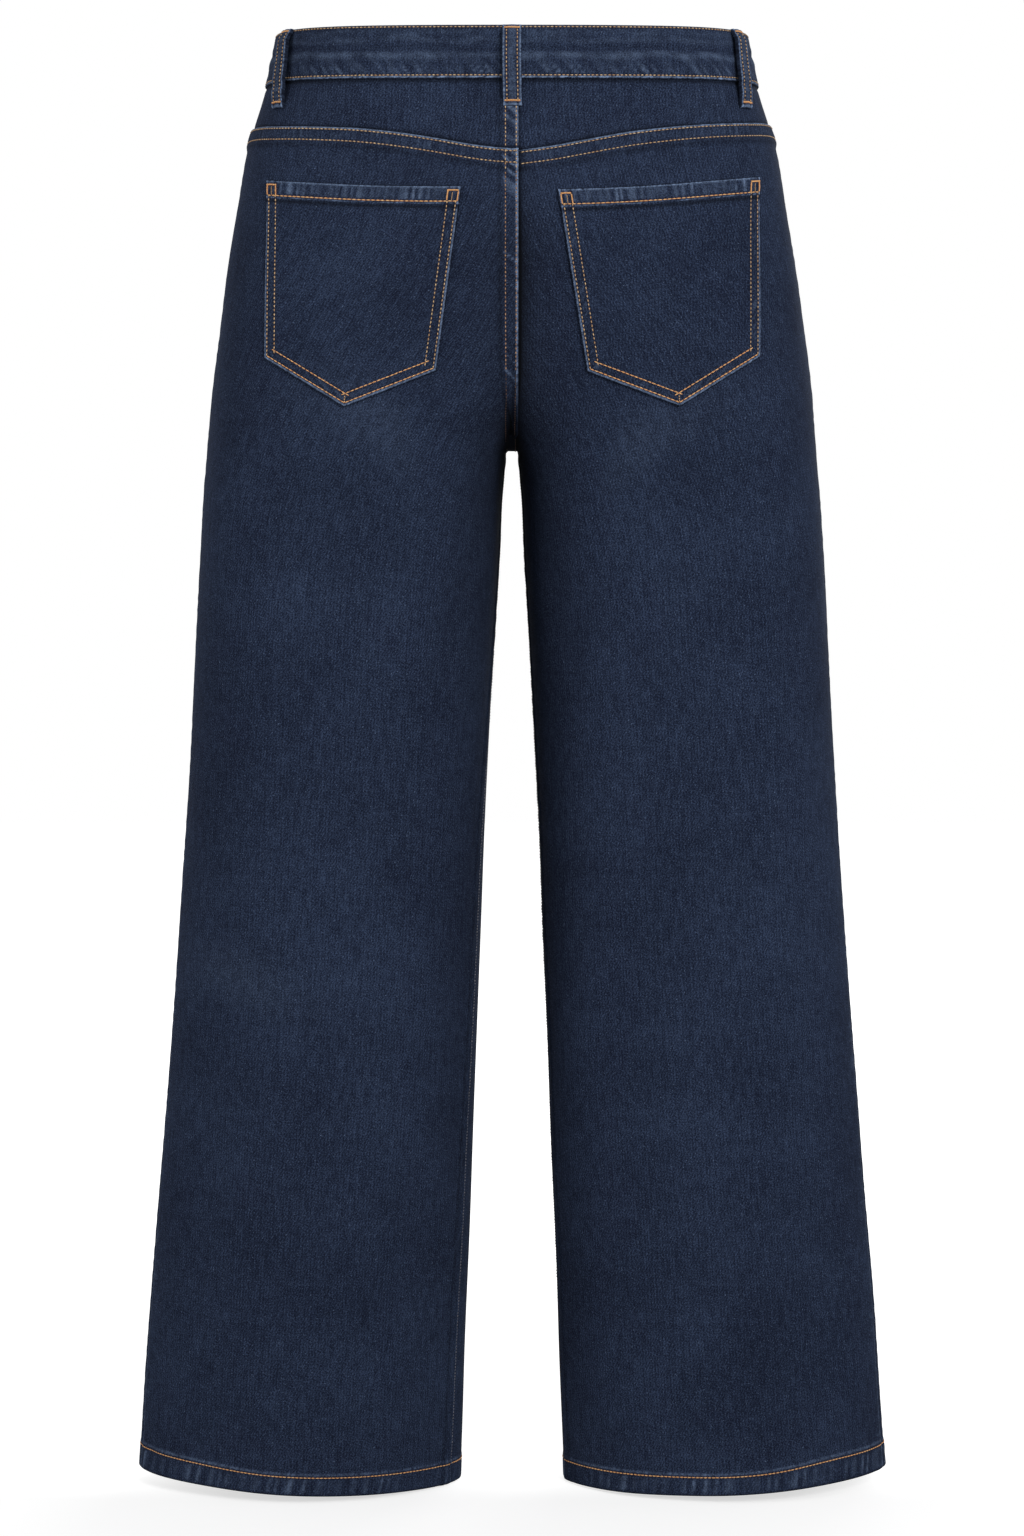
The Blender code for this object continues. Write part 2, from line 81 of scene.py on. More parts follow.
BAND_TOP = 19.5
BAND_BOTTOM = -18.0
BACK_DIP = 2.5
FRONT_DIP = 14.0
YOKE_SIDE = -44.0
CROTCH = -273.0
HEM_SIDE = -1012.5
HEM_TILT = 9.5
HEM_HEIGHT = 14.0

BAND_PROUD = 1.2
BAND_WALL = 3.0
BAND_UNDER_END = -24.0
BAND_OVER_END = 18.0

FLY_REACH = BAND_OVER_END
FLY_END = -150.0
FLY_TURN = 18.0

SCOOP_DEPTH = -98.0
SCOOP_X = 92.0
FACING_X = 74.0
FACING_TUCK = 9.0  # from the waistband's edge to where the facing's fall starts at the side
FACING_FALL = 91.0

LOOP_WIDTH = 13.5
LOOP_WALL = 2.4
LOOP_STAND = 3.2
LOOP_TOP = -0.6
LOOP_TAIL = 19.0

BUTTON_RISE = 4.0

SECTIONS = table(
    "height width crown gap_back gap_front back front fullness",
    (24, 166, 0, -166, -166, 105, 102, 0.035),
    (-20, 175.6, 0, -175.6, -175.6, 111, 106, 0.050),
    (-60, 187.4, 2, -187, -187.4, 118, 110, 0.073),
    (-105, 195.2, 13, -184, -195, 127, 114, 0.083),
    (-150, 203, 33, -154, -200, 133, 116.5, 0.076),
    (-190, 208.4, 55, -112, -176, 136, 117, 0.064),
    (-218, 212.2, 70, -69, -128, 136, 116, 0.058),
    (-238, 214.5, 80, -36, -76, 134.5, 115, 0.055),
    (-256, 216, 88, -12, -27, 132.5, 114, 0.053),
    (-267, 217, 93, -3.5, -3.5, 130.5, 113, 0.053),
    (-273, 217.5, 95.5, 0.3, 0.3, 129.5, 112.5, 0.053),
    (-276, 217.8, 96.5, 1.9, 1.9, 129, 112.3, 0.053),
    (-283, 218.3, 98.8, 4.6, 4.6, 127.7, 111.8, 0.053),
    (-300, 220, 104, 6.8, 6.8, 124, 110, 0.051),
    (-350, 223.5, 114, 9.4, 9.4, 116, 105, 0.045),
    (-430, 228, 121, 14.0, 14.0, 107, 98, 0.034),
    (-530, 234, 126.5, 19.0, 19.0, 98.5, 91.5, 0.020),
    (-640, 242, 132.7, 23.4, 23.4, 91.5, 86, 0.008),
    (-760, 251.5, 139.7, 27.9, 27.9, 86.5, 82, -0.004),
    (-880, 262, 147.3, 32.6, 32.6, 83.5, 79.5, -0.016),
    (-1030, 273, 155.5, 38.0, 38.0, 82, 78, -0.030),
)
Section = type(SECTIONS[0])
SECTION_ROWS = np.array(SECTIONS[::-1], dtype=float)

# Large soft folds down the legs, by their middle and spread in degrees
FOLDS = table(
    "side middle spread drift top bottom height",
    (1, 62, 20, 8, -330, -760, 3.2),
    (1, 116, 15, -10, -420, -1060, -2.6),
    (1, 142, 13, -6, -520, -1060, 2.0),
    (1, -75, 18, 8, -300, -820, 3.0),
    (1, -120, 14, 6, -480, -1060, -2.4),
    (-1, 78, 18, -10, -370, -860, 2.6),
    (-1, 46, 14, 6, -520, -1060, -2.2),
    (-1, 132, 14, -8, -460, -1060, 2.2),
    (-1, -70, 19, -8, -340, -880, 2.8),
    (-1, -112, 13, 8, -500, -1060, -2.2),
)

YOKE_LINE = table(
    "x right left",
    (0, -70.4, -69.2),
    (25, -66.9, -65.8),
    (50, -62.0, -61.2),
    (75, -57.3, -57.3),
    (100, -54.0, -54.5),
    (130, -51.1, -52.7),
    (160, -48.5, -51.0),
    (184, -45.5, -48.2),
)

INSEAM = {1: 9.0, -1: 24.0}  # how far each side's seams turn towards the back
OUTSEAM = {1: 13.0, -1: 12.0}
INSEAM_TURN = 300.0  # the length of leg over which an inseam turns

# Back pocket corners, seen square from behind, as x and height: top inner, top outer, low outer,
# tip, low inner
POCKETS = {
    1: ((32.2, -97.7), (171, -87.4), (170.7, -210.9), (115.3, -245), (52.1, -221.6)),
    -1: ((35.5, -95.6), (169.2, -89.9), (170.1, -212), (115.3, -245.3), (52.5, -221.1)),
}

LOOPS = table(
    "name side top_angle tail_angle",
    ("belt_loop_back", 1, 90.0, 90.0),
    ("belt_loop_side_right", 1, 25.5, 33.5),
    ("belt_loop_side_left", -1, 25.5, 33.5),
    ("belt_loop_front_right", 1, -50.0, -55.5),
    ("belt_loop_front_left", -1, -50.0, -55.5),
)

SIDE_NAMES = {1: "right", -1: "left"}

# ---------------------------------------------------------------- sizes of the sewing

LAP = 1.3  # how far a lapped seam stands off
CENTRE_LAP = 4.6  # the left half laps this far over the right at centre back
CENTRE_ROWS = (1.5, 9.0)  # stitch rows, from the lapped edge
CENTRE_ENDS = (-265.0, -271.0)
# Below these heights the centre rows' stitches use thread painted as in shade
DIM_BELOW, DARK_BELOW = -84.0, -222.0  # where the centre rows' thread goes into shade
YOKE_ROWS = (2.0, 10.2)
SCOOP_ROWS = (1.8, 8.2)
FLY_ROWS = (38.0, 44.0)
FLY_SEWN_TOP = -32.0
FLY_BEND = -104.0  # below it the fly's rows turn in, to the middle at FLY_END
FRONT_ROWS = (1.6, 7.6)
FRONT_SEWN = (-262.0, -164.0)
CROTCH_ROWS = (-3.6, 2.4)
LOOP_ROWS = (3.0, LOOP_WIDTH - 3.0)
BAND_ROW_TOP = 1.6  # from the band's top edge
BAND_ROW_LOW = 2.5  # from its bottom edge
BUTTONHOLE = 18.7  # from the band's top edge
BUTTONHOLE_ENDS = (8.0, 30.0)  # from its lapped end
HEM_ROW = 13.6  # above the hem edge
HEM_RISE = {1: (1.6, 3.6), -1: (1.6, 2.9)}  # more, at a leg's inner and outer side
POCKET_EDGE = 0.9  # how far a pocket's soft edge spreads past its cut line
POCKET_ROWS = (2.7, 8.5)
POCKET_HEM = 11.0
POCKET_STAND = 1.5
POCKET_SAG = 1.8  # how far the middle of a pocket's top edge hangs
INSEAM_ROW = 0.9
INSEAM_SEWN = (-1008.0, -290.0)
PITCH = 2.9  # one stitch and the gap after it
THREAD = 0.40  # radius of the topstitching thread
SEAT_LOW = -272.0  # where the seat's laps end
LEG_SOFT = 14.0  # how softly the inseam's look begins below the crotch
SEWN_SIDE, SEWN_TOP, SEWN_HEM = 24, 24, 22  # a leg panel's grid is fine this far from its edges

# The spacing of the pieces' grid points, near their sewn edges and far from them
GRIDS = {row.name: row for row in table(
    "name length near far reach",
    ("leg_across", 300, 0.9, 1.7, 13),
    ("leg_down", 950, 0.8, 2.0, 16),
    ("facing_across", 130, 2.4, 2.4, 10),
    ("facing_down", 90, 2.4, 2.4, 9),
    ("yoke_across", 240, 0.9, 1.9, 13),
    ("yoke_down", 48, 1.2, 1.4, 6),
    ("pocket_across", 142, 0.9, 1.6, 12),
    ("pocket_down", 140, 0.9, 1.6, 13),
    ("band_down", BAND_TOP - BAND_BOTTOM, 0.7, 0.9, 5),
    ("loop_down", 57, 0.8, 1.1, 5),
    ("loop_across", LOOP_WIDTH, 0.7, 1.1, 2),
)}

# A pucker's worn share scales both the pale rubbing on its ridges and the painted shade in its
# troughs
PUCKERS = {row.name: row for row in table(
    "name length height worn",
    ("hem", 9, 0.20, 0.26),
    ("outseam", 13, 0.16, 0.12),
    ("inseam", 11.5, 0.36, 0.16),
    ("yoke", 4.4, 0.22, 0.16),
    ("centre_seat", 9.2, 0.34, 0.55),
    ("centre_yoke", 9.2, 0.34, 0.45),
    ("pocket_hem", 5.8, 0.3, 0.32),
    ("band_low", 7.6, 0.24, 0.28),
    ("band", 17, 0.20, 0.07),
    ("band_top", 8.3, 0.14, 0.06),
    ("loop", 6.0, 0.12, 0.12),
)}

# Soft rolls along the waistband, by the distance of each from its top edge
BAND_ROLLS = table(
    "depth wave width height seed",
    (5.5, 80, 2.2, 0.24, 98),
    (11.0, 70, 2.6, 0.36, 95),
    (16.4, 90, 1.7, -0.60, 96),
    (21.5, 60, 3.0, 0.75, 97),
)

# Creases: soft troughs, and ridges where the height is above zero, each between two places on the
# cloth. Angles are in degrees.
CREASES = table(
    "side angle_1 height_1 angle_2 height_2 width height",
    (-1, 84, -190, 106, -262, 13, -2.4),
    (1, 96, -196, 110, -262, 14, -2.8),
    (-1, 70, -232, 104, -284, 16, 0.6),
    (1, 70, -250, 108, -300, 18, 0.7),
    (1, 40, -262, 100, -322, 20, -1.3),
    (-1, 48, -282, 112, -342, 18, -1.2),
    (-1, 150, -300, 128, -420, 15, -1.5),
    (1, 152, -300, 132, -440, 16, -1.8),
    (1, 36, -96, 52, -150, 22, -0.9),
    (-1, 40, -100, 30, -160, 20, -0.9),
    (-1, 60, -520, 126, -560, 20, -1.0),
    (1, 44, -560, 110, -592, 22, -1.1),
    (1, 96, -640, 150, -604, 17, -0.9),
    (-1, 30, -640, 84, -668, 19, 0.8),
    (-1, 94, -905, 138, -880, 18, -0.8),
    (1, 40, -930, 92, -952, 20, -0.8),
    (-1, 12, -984, 26, -1002, 7, -1.3),
    (1, 150, -972, 132, -996, 9, -1.1),
    (-1, -86, -176, -112, -262, 13, -2.2),
    (1, -84, -184, -110, -266, 14, -2.4),
    (-1, -60, -236, -108, -288, 17, -1.6),
    (1, -58, -230, -106, -292, 16, -1.7),
    (1, -46, -262, -112, -330, 18, 1.3),
    (-1, -48, -268, -114, -338, 18, 1.2),
    (1, -54, -560, -122, -590, 20, -1.0),
    (-1, -50, -548, -120, -570, 20, -1.1),
    (-1, -64, -930, -112, -952, 18, -0.8),
    (1, -72, -912, -118, -940, 19, -0.9),
)
LEG_RADIUS = 100.0

# The cut of each piece as it shows, in metres and square metres
Cut = namedtuple("Cut", "width length area")


# ---------------------------------------------------------------- form of the cloth


def smooth_step(value):
    held = np.clip(value, 0.0, 1.0)
    return held * held * (3.0 - 2.0 * held)


def above(value, level, soft):
    """0 up to a level, and rising to 1 over a soft length past it."""
    return smooth_step((value - level) / soft)


def below(value, level, soft):
    """0 down to a level, and rising to 1 over a soft length under it."""
    return smooth_step((level - value) / soft)


def smooth_curve(place, places, values):
    """A smooth curve through values at rising places."""
    held = np.clip(place, places[0], places[-1])
    low = np.clip(np.searchsorted(places, held, side="right") - 1, 0, len(places) - 2)
    span = places[low + 1] - places[low]
    t = (held - places[low]) / span
    slopes = np.gradient(values, places)
    ends = (1 + 2 * t) * (1 - t) ** 2 * values[low] + t * t * (3 - 2 * t) * values[low + 1]
    return ends + t * (1 - t) ** 2 * span * slopes[low] + t * t * (t - 1) * span * slopes[low + 1]


def section_at(height):
    """The ring's sizes at a height, on a smooth curve through the table."""
    height = np.asarray(height, dtype=float)
    return Section(*[smooth_curve(height, SECTION_ROWS[:, 0], column) for column in SECTION_ROWS.T])


def ring_across(angle, square):
    return (np.cos(angle) - square * np.cos(3 * angle)) / (1 - square)


def ring_along(angle, square):
    return (np.sin(angle) + square * np.sin(3 * angle)) / (1 - square)


def angle_at(height, back, x):
    """The ring angle at which the back or front of a ring is x from the middle plane."""
    size = section_at(height)
    gap = np.where(back, size.gap_back, size.gap_front)
    reach = np.where(x > size.crown, size.width - size.crown, size.crown - gap)
    across = np.clip((x - size.crown) / reach, -1.0, 1.0)
    wanted = across * (1 - size.fullness)
    cosine = across
    for _ in range(8):
        error = cosine * (1 + 3 * size.fullness) - 4 * size.fullness * cosine**3 - wanted
        cosine = cosine - error / (1 + 3 * size.fullness - 12 * size.fullness * cosine**2)
    angle = np.arccos(np.clip(cosine, -1.0, 1.0))
    return np.where(back, angle, -angle)


def plain_ring(height, angle):
    """Points of the right-hand ring with no folds, for angles in radians."""
    size = section_at(height)
    back = np.sin(angle) > 0
    gap = np.where(back, size.gap_back, size.gap_front)
    depth = np.where(back, size.back, size.front)
    reach = np.where(np.cos(angle) > 0, size.width - size.crown, size.crown - gap)
    x = size.crown + reach * ring_across(angle, size.fullness)
    mirrored = angle_at(height, back, np.abs(x))
    y = -depth * ring_along(np.where(x < 0, mirrored, angle), size.fullness)
    return np.stack(np.broadcast_arrays(x, y, np.asarray(height, dtype=float)), axis=-1)


def level_x(height, angles):
    """x of the points at one height of the plain ring."""
    return plain_ring(np.full_like(angles, height), angles)[..., 0]


def unit(vectors):
    return vectors / np.linalg.norm(vectors, axis=-1, keepdims=True)


def ring_outward(height, angle):
    """Unit vectors square to the plain ring's surface, pointing out of the cloth."""
    turn, rise = 1e-3, 0.5
    along = plain_ring(height, angle + turn) - plain_ring(height, angle - turn)
    up = plain_ring(height + rise, angle) - plain_ring(height - rise, angle)
    return unit(np.cross(up, along))


def fold_height(side, height, angle):
    """How far the large soft folds lift the cloth."""
    lift = np.zeros(np.broadcast(height, angle).shape)
    for fold in [fold for fold in FOLDS if fold.side == side]:
        down = np.clip((fold.top - height) / (fold.top - fold.bottom), 0.0, 1.0)
        away = (angle - np.radians(fold.middle + fold.drift * down)) / np.radians(fold.spread)
        to_hem = smooth_step(down / 0.4) * (1 - 0.6 * down)
        fade = to_hem if fold.bottom < HEM_SIDE else np.sin(np.pi * down)
        lift = lift + fold.height * fade * np.exp(-away * away)
    return lift


def seam_angle(height, length):
    """The turn that takes a seam this far round from a ring's side."""
    size = section_at(height)
    return length * (1 - size.fullness) / (size.back * (1 + 3 * size.fullness))


def inseam_turn(side, height):
    return below(height, CROTCH, INSEAM_TURN) * seam_angle(height, INSEAM[side])


def half_gap_angle(height):
    return seam_angle(height, SEAM_GAP / 2)


def band_dip(angle):
    dip = np.where(np.sin(angle) > 0, BACK_DIP, FRONT_DIP)
    return dip * np.sin(angle) ** 2


def yoke_seam(side, x):
    """Height of the yoke seam at a distance from the middle plane."""
    line = np.array(YOKE_LINE)
    return smooth_curve(np.abs(x), line[:, 0], line[:, 1 if side == 1 else 2])


def centre_lap(side, height):
    """x of a back half's centre edge, on its own side: the left one laps over the right one."""
    if side == 1:
        return SEAM_GAP / 2
    reach = np.maximum(-section_at(height).gap_back - 0.4, 0.0)
    return SEAM_GAP / 2 - np.minimum(CENTRE_LAP, reach)


def back_angles(side, height, shares):
    """Ring angles of a back half, for shares of its width from its inner edge."""
    middle = angle_at(height, True, centre_lap(side, height))
    inner = np.minimum(middle, np.pi - inseam_turn(side, height) - half_gap_angle(height))
    outer = seam_angle(height, OUTSEAM[side]) + half_gap_angle(height)
    return inner + (outer - inner) * shares


def front_edges(side, height):
    """Ring angles of a front half's inner and outer edge. The left half laps over the right one."""
    fly = FLY_REACH * smooth_step((height - FLY_END) / FLY_TURN + 1.0)
    if side == 1:
        x = fly - 5 * fly / FLY_REACH + SEAM_GAP / 2
    else:
        x = -fly - 3.5 * (1 - fly / FLY_REACH) * above(height, SEAT_LOW, 10)
    at_inseam = -np.pi - inseam_turn(side, height) + half_gap_angle(height)
    inner = np.where(height < CROTCH, at_inseam, np.maximum(angle_at(height, False, x), at_inseam))
    return inner, seam_angle(height, OUTSEAM[side]) - half_gap_angle(height)


def front_angles(side, height, shares):
    inner, outer = front_edges(side, height)
    return inner + (outer - inner) * shares


def hem_line(side, angles_of, shares):
    x = level_x(HEM_SIDE, angles_of(side, np.full_like(shares, HEM_SIDE), shares))
    size = section_at(HEM_SIDE)
    return HEM_SIDE - HEM_TILT * (size.width - x) / (size.width - size.gap_back)


# ---------------------------------------------------------------- cloth as grids of points


def graded(name):
    """Places from 0 to 1 of a grid's rows or columns."""
    length, near, far, reach = GRIDS[name][1:]
    places = [0.0]
    while places[-1] < length:
        edge = min(places[-1], length - places[-1])
        places.append(places[-1] + near + (far - near) * float(smooth_step(edge / reach - 1.0)))
    return np.array(places) / places[-1]


def run_length(points, axis=0):
    """How far each point is along its row or column."""
    steps = np.linalg.norm(np.diff(points, axis=axis), axis=-1)
    start = np.zeros_like(np.take(steps, [0], axis=axis))
    return np.concatenate([start, np.cumsum(steps, axis=axis)], axis=axis)


def resample(places, length, values):
    """Rows of values at places along a line, where length says how far along each row lies."""
    return np.stack([np.interp(places, length, column) for column in values.T], axis=1)


def crossing(line, value):
    """The place in a rising or falling line of numbers at which it has a value."""
    index = np.arange(len(line))
    if line[0] > line[-1]:
        return np.interp(value, line[::-1], index[::-1])
    return np.interp(value, line, index)


def blend_places(values, row, column):
    """Values of a grid between its points."""
    rows, columns = values.shape[:2]
    row, column = np.clip(row, 0, rows - 1), np.clip(column, 0, columns - 1)
    r = np.minimum(row.astype(int), rows - 2)
    c = np.minimum(column.astype(int), columns - 2)
    fr, fc = row - r, column - c
    if values.ndim > 2:
        fr, fc = fr[:, None], fc[:, None]
    upper = values[r, c] * (1 - fc) + values[r, c + 1] * fc
    lower = values[r + 1, c] * (1 - fc) + values[r + 1, c + 1] * fc
    return upper * (1 - fr) + lower * fr


def down_line(field, value):
    """Grid places down the cloth where a field has a value, or each row has its own."""
    columns = [crossing(*pair) for pair in zip(field, np.broadcast_to(value, len(field)))]
    return np.stack([np.arange(len(field)), columns], axis=1)


def across_line(field, value):
    """Grid places across the cloth where a field has a value."""
    return down_line(field.T, value)[:, ::-1]


def keep(places, field, low, high):
    """The stretch of a line of grid places where a field is between two values."""
    found = blend_places(field, places[:, 0], places[:, 1])
    return places[(found >= low) & (found <= high)]


ARC_HEIGHTS = np.linspace(-1030, 30, 107)
ARC_ANGLES = np.linspace(-5.0, 8.0, 651)
ARCS = run_length(plain_ring(*np.broadcast_arrays(ARC_HEIGHTS[:, None], ARC_ANGLES[None])), 1)


def arc_place(heights, angles):
    """How far round its level ring a point is, from the middle of the back or the front."""
    row = np.interp(heights.ravel(), ARC_HEIGHTS, np.arange(len(ARC_HEIGHTS)))
    middle = np.full(row.shape, np.pi / 2 * np.sign(np.sin(angles.mean())))
    found = []
    for turned in (angles.ravel(), middle):
        column = np.interp(turned, ARC_ANGLES, np.arange(len(ARC_ANGLES)))
        found.append(blend_places(ARCS, row, column))
    return (found[0] - found[1]).reshape(heights.shape)


class Cloth:
    """A grid of points on one side's cloth. Rows run down, columns from the inner edge out."""

    def __init__(self, side, heights, angles, base, outward):
        self.side, self.heights, self.angles = side, heights, angles
        self.base, self.outward = base, outward
        self.own_x = base[..., 0] * side
        self.lift, self.wear = np.zeros(heights.shape), np.zeros(heights.shape)
        self.from_inner, self.from_top = run_length(base, 1), run_length(base, 0)
        self.from_outer = self.from_inner[:, -1:] - self.from_inner
        self.from_bottom = self.from_top[-1:] - self.from_top
        toward = side * np.sign(angles[0, -1] - angles[0, 0]) * np.sign(np.sin(angles.mean()))
        self.u, self.v = toward * arc_place(heights, angles), heights

    def points(self):
        return self.base + self.outward * self.lift[..., None]

    def path(self, places, *limits):
        """Points and outward directions at grid places, where each (field, low, high) holds."""
        for field, low, high in limits:
            places = keep(places, field, low, high)
        row, column = places[:, 0], places[:, 1]
        points = blend_places(self.points(), row, column)
        return points, unit(blend_places(self.outward, row, column))

    def line(self, field, at, width, wear=0.0, lift=0.0, share=1.0):
        """A soft line where a field has a value: how high the cloth is there, and how worn, where
        values below 0 are painted shade.
        """
        shape = ridge(field, at, width) * share
        self.wear += wear * shape
        self.lift += lift * shape

    def terrace(self, field, reach, soft, lift, share=1.0):
        """Lifts the cloth between an edge and a reach from it."""
        self.lift += lift * share * (1 - above(field, reach, soft))


def ring_cloth(side, heights, angles, offset=0.0):
    """Cloth on one side's surface, with its large folds and the hollow below the crotch seam."""
    heights, angles = np.broadcast_arrays(heights, angles)
    outward = ring_outward(heights, angles)
    out = fold_height(side, heights, angles) + offset
    base = plain_ring(heights, angles) + outward * out[..., None]
    inner = smooth_step((-np.cos(angles) - 0.8) / 0.2)
    base[..., 0] += 2.0 * inner * ridge(heights, -276, 5.0)
    mirror = np.array([side, 1.0, 1.0])
    return Cloth(side, heights, angles, base * mirror, outward * mirror)


def plan_cloth(side, plan, offset):
    """Back cloth whose points, moved out by offset, lie at these (x, height) places."""
    wanted = plan
    for _ in range(3):
        heights = wanted[..., 1]
        cloth = ring_cloth(side, heights, angle_at(heights, True, wanted[..., 0]), offset)
        wanted = wanted + plan - np.stack([cloth.own_x, cloth.base[..., 2]], axis=-1)
    return cloth


def distance_to(points, line):
    """How far points are from a line."""
    length = run_length(line)
    line = resample(np.linspace(0, length[-1], int(length[-1] / 0.5)), length, line)
    flat = points.reshape(-1, 3)
    parts = np.array_split(flat, max(1, len(flat) * len(line) // 3_000_000))
    near = [np.sqrt(((part[:, None] - line[None]) ** 2).sum(axis=2).min(axis=1)) for part in parts]
    return np.concatenate(near).reshape(points.shape[:-1])


# ---------------------------------------------------------------- relief of sewn cloth


def uneven_wave(position, length, seed):
    """A wave of about this length along a seam, as uneven as real puckers, from -1 to 1."""
    turn = np.random.default_rng(seed).uniform(0, 2 * np.pi, 6)

    def wave(place, stretch, phase):
        return np.sin(2 * np.pi * place / (stretch * length) + turn[phase])

    place = position + 0.22 * length * wave(position, 4.7, 0)
    place = place + 0.16 * length * wave(position, 2.3, 1)
    strength = 0.68 + 0.32 * wave(position, 7.3, 2)
    return (wave(place, 1.0, 3) + 0.25 * wave(place, 0.43, 4)) * strength / 1.25


def frayed(position, length, seed, least=0.6):
    """An uneven share along an edge, of how worn it is."""
    return least + (1 - least) * uneven_wave(position, length, seed)


def between(distance, low, high, soft):
    """1 between two distances, falling to 0 over a soft edge on both sides."""
    return smooth_step((distance - low) / soft + 0.5) * smooth_step((high - distance) / soft + 0.5)


def ridge(distance, at, width):
    return np.exp(-(((distance - at) / width) ** 2))


def rounded(distance, radius):
    """How far a folded edge curves down, near the edge."""
    inside = np.clip(1 - distance / radius, 0.0, 1.0)
    return -radius * (1 - np.sqrt(1 - inside**2))


def press_row(cloth, distance, at):
    """A stitch row pulls the cloth in along itself, and its groove is darkened with painted shade.
    """
    cloth.line(distance, at, 0.9, lift=-0.32)
    cloth.line(distance, at, 0.8, wear=-0.30)


def lap_edge(cloth, distance, along, width, lap, seed, worn=1.0, share=1.0):
    """A folded edge on its neighbour: thick as far as its turnings go, round and worn pale, with
    painted shade where its thick part ends.
    """
    cloth.terrace(distance, width, 5, lap, share)
    cloth.lift += share * rounded(distance, 0.9)
    cloth.line(distance, 0.75, 0.6, wear=1.7, share=share * worn * frayed(along, 4.3, seed, 0.62))
    # Painted shade where the lapped cloth steps down
    cloth.line(distance, width + 1.5, 1.6, wear=-0.35, share=share)


def pucker(cloth, along, window, name, seed):
    length, height, worn = PUCKERS[name][1:]
    wave = uneven_wave(along, length, seed)
    cloth.lift += height * wave * window
    # Ridges rub pale; troughs are darkened as painted shade
    rubbed_and_shaded = 1.25 * np.maximum(wave, 0.0) ** 2 - 0.55 * np.maximum(-wave, 0.0) + 0.1
    cloth.wear += worn * rubbed_and_shaded * window


def crease_cloth(cloth):
    """Lays the main creases and the slight unevenness of worn cloth, away from the middle plane,
    with painted shade in the crease troughs and towards the hems.
    """
    room = smooth_step(cloth.own_x / 30)
    around, down = cloth.angles * LEG_RADIUS, cloth.heights
    for crease in [crease for crease in CREASES if crease.side == cloth.side]:
        start = np.array([np.radians(crease.angle_1) * LEG_RADIUS, crease.height_1])
        line = np.array([np.radians(crease.angle_2) * LEG_RADIUS, crease.height_2]) - start
        right, up = around - start[0], down - start[1]
        share = np.clip((right * line[0] + up * line[1]) / (line @ line), 0.0, 1.0)
        bow = 0.08 * np.linalg.norm(line) * np.sin(np.pi * share)
        away = np.hypot(right - share * line[0], up - share * line[1] - bow)
        fade = 0.35 + 0.65 * np.sin(np.pi * np.clip(share, 0.04, 0.96))
        shape = ridge(away, 0, crease.width) * fade * room
        cloth.lift += crease.height * shape
        # Crease ridges rub a little paler; troughs get a little painted shade
        cloth.wear += 0.05 * np.sign(crease.height) * shape
    turn = np.random.default_rng(40 + cloth.side).uniform(0, 2 * np.pi, 6)
    soft = np.sin(around / 19 + down / 61 + turn[0]) * np.sin(down / 47 + turn[1])
    fine = np.sin(around / 11 - down / 83 + turn[2]) * np.sin(down / 29 + around / 37 + turn[3])
    cloth.lift += 0.28 * (soft + 0.6 * fine) * room
    # Painted shade: the legs grow darker towards the hems, as the light falls off
    cloth.wear -= 0.05 * below(down, -600, 400)


# ---------------------------------------------------------------- materials


class Nodes:
    """Adds shader nodes to a material. Inputs are numbers or other nodes' outputs, by name."""

    def __init__(self, name):
        self.material = bpy.data.materials.new(name)
        self.material.use_nodes = True
        self.tree = self.material.node_tree
        self.shader = self.tree.nodes["Principled BSDF"]

    def set(self, node, inputs):
        for key, value in inputs.items():
            socket = node.inputs[key if isinstance(key, int) else key.replace("_", " ")]
            if isinstance(value, bpy.types.NodeSocket):
                self.tree.links.new(value, socket)
            else:
                socket.default_value = value
        return node

    def add(self, kind, settings=None, inputs=None):
        node = self.tree.nodes.new("ShaderNode" + kind)
        for key, value in (settings or {}).items():
            setattr(node, key, value)
        return self.set(node, inputs or {})

    def math(self, operation, a, b=0.0, c=0.0):
        return self.add("Math", {"operation": operation}, {0: a, 1: b, 2: c}).outputs[0]

    def vary(self, noise, strength, onto):
        """Adds a noise, about its middle, to a value."""
        return self.math("MULTIPLY_ADD", self.math("SUBTRACT", noise, 0.5), strength, onto)

    def mix(self, factor, a, b):
        node = self.add("Mix", {"data_type": "RGBA", "blend_type": "MIX"})
        return self.set(node, {0: factor, 6: a, 7: b}).outputs[2]

    def held(self, value):
        return self.add("Clamp", None, {0: value}).outputs[0]

    def scaled(self, vector, x, y, z=1.0):
        inputs = {0: vector, 1: (x, y, z)}
        return self.add("VectorMath", {"operation": "MULTIPLY"}, inputs).outputs[0]

    def noise(self, vector, scale, detail=2.0, rough=0.5):
        inputs = {"Vector": vector, "Scale": scale, "Detail": detail, "Roughness": rough}
        return self.add("TexNoise", None, inputs).outputs[0]

    def ramp(self, value, low, high):
        inputs = {"Value": value, "From_Min": low, "From_Max": high}
        return self.add("MapRange", {"interpolation_type": "SMOOTHSTEP"}, inputs).outputs[0]

    def bump(self, height, distance):
        inputs = {"Height": height, "Distance": distance, "Strength": 1.0}
        return self.add("Bump", None, inputs).outputs[0]

    def stored(self, name):
        return self.add("Attribute", {"attribute_name": name}).outputs["Fac"]

    def finish(self, base, normal, roughness, specular):
        self.set(self.shader, {"Base Color": base, "Normal": normal})
        self.set(self.shader, {"Roughness": roughness, "Specular IOR Level": specular})
        return self.material


def colour(red, green, blue):
    """A colour written in screen values from 0 to 255."""
    share = np.array([red, green, blue]) / 255
    linear = np.where(share <= 0.04045, share / 12.92, ((share + 0.055) / 1.055) ** 2.4)
    return (*linear.tolist(), 1.0)


CLOTH_MAP = "Cloth"
WALE = 1.9  # from one diagonal twill line to the next
WALE_SLOPE = np.radians(60)
GRAIN_SLOPE = np.radians(64)  # the way the grain leans, from level
YARN = 2.2  # from one thick warp yarn to the next
# The near-black colour that painted shade mixes the denim towards
SHADOW = colour(8, 10, 15)


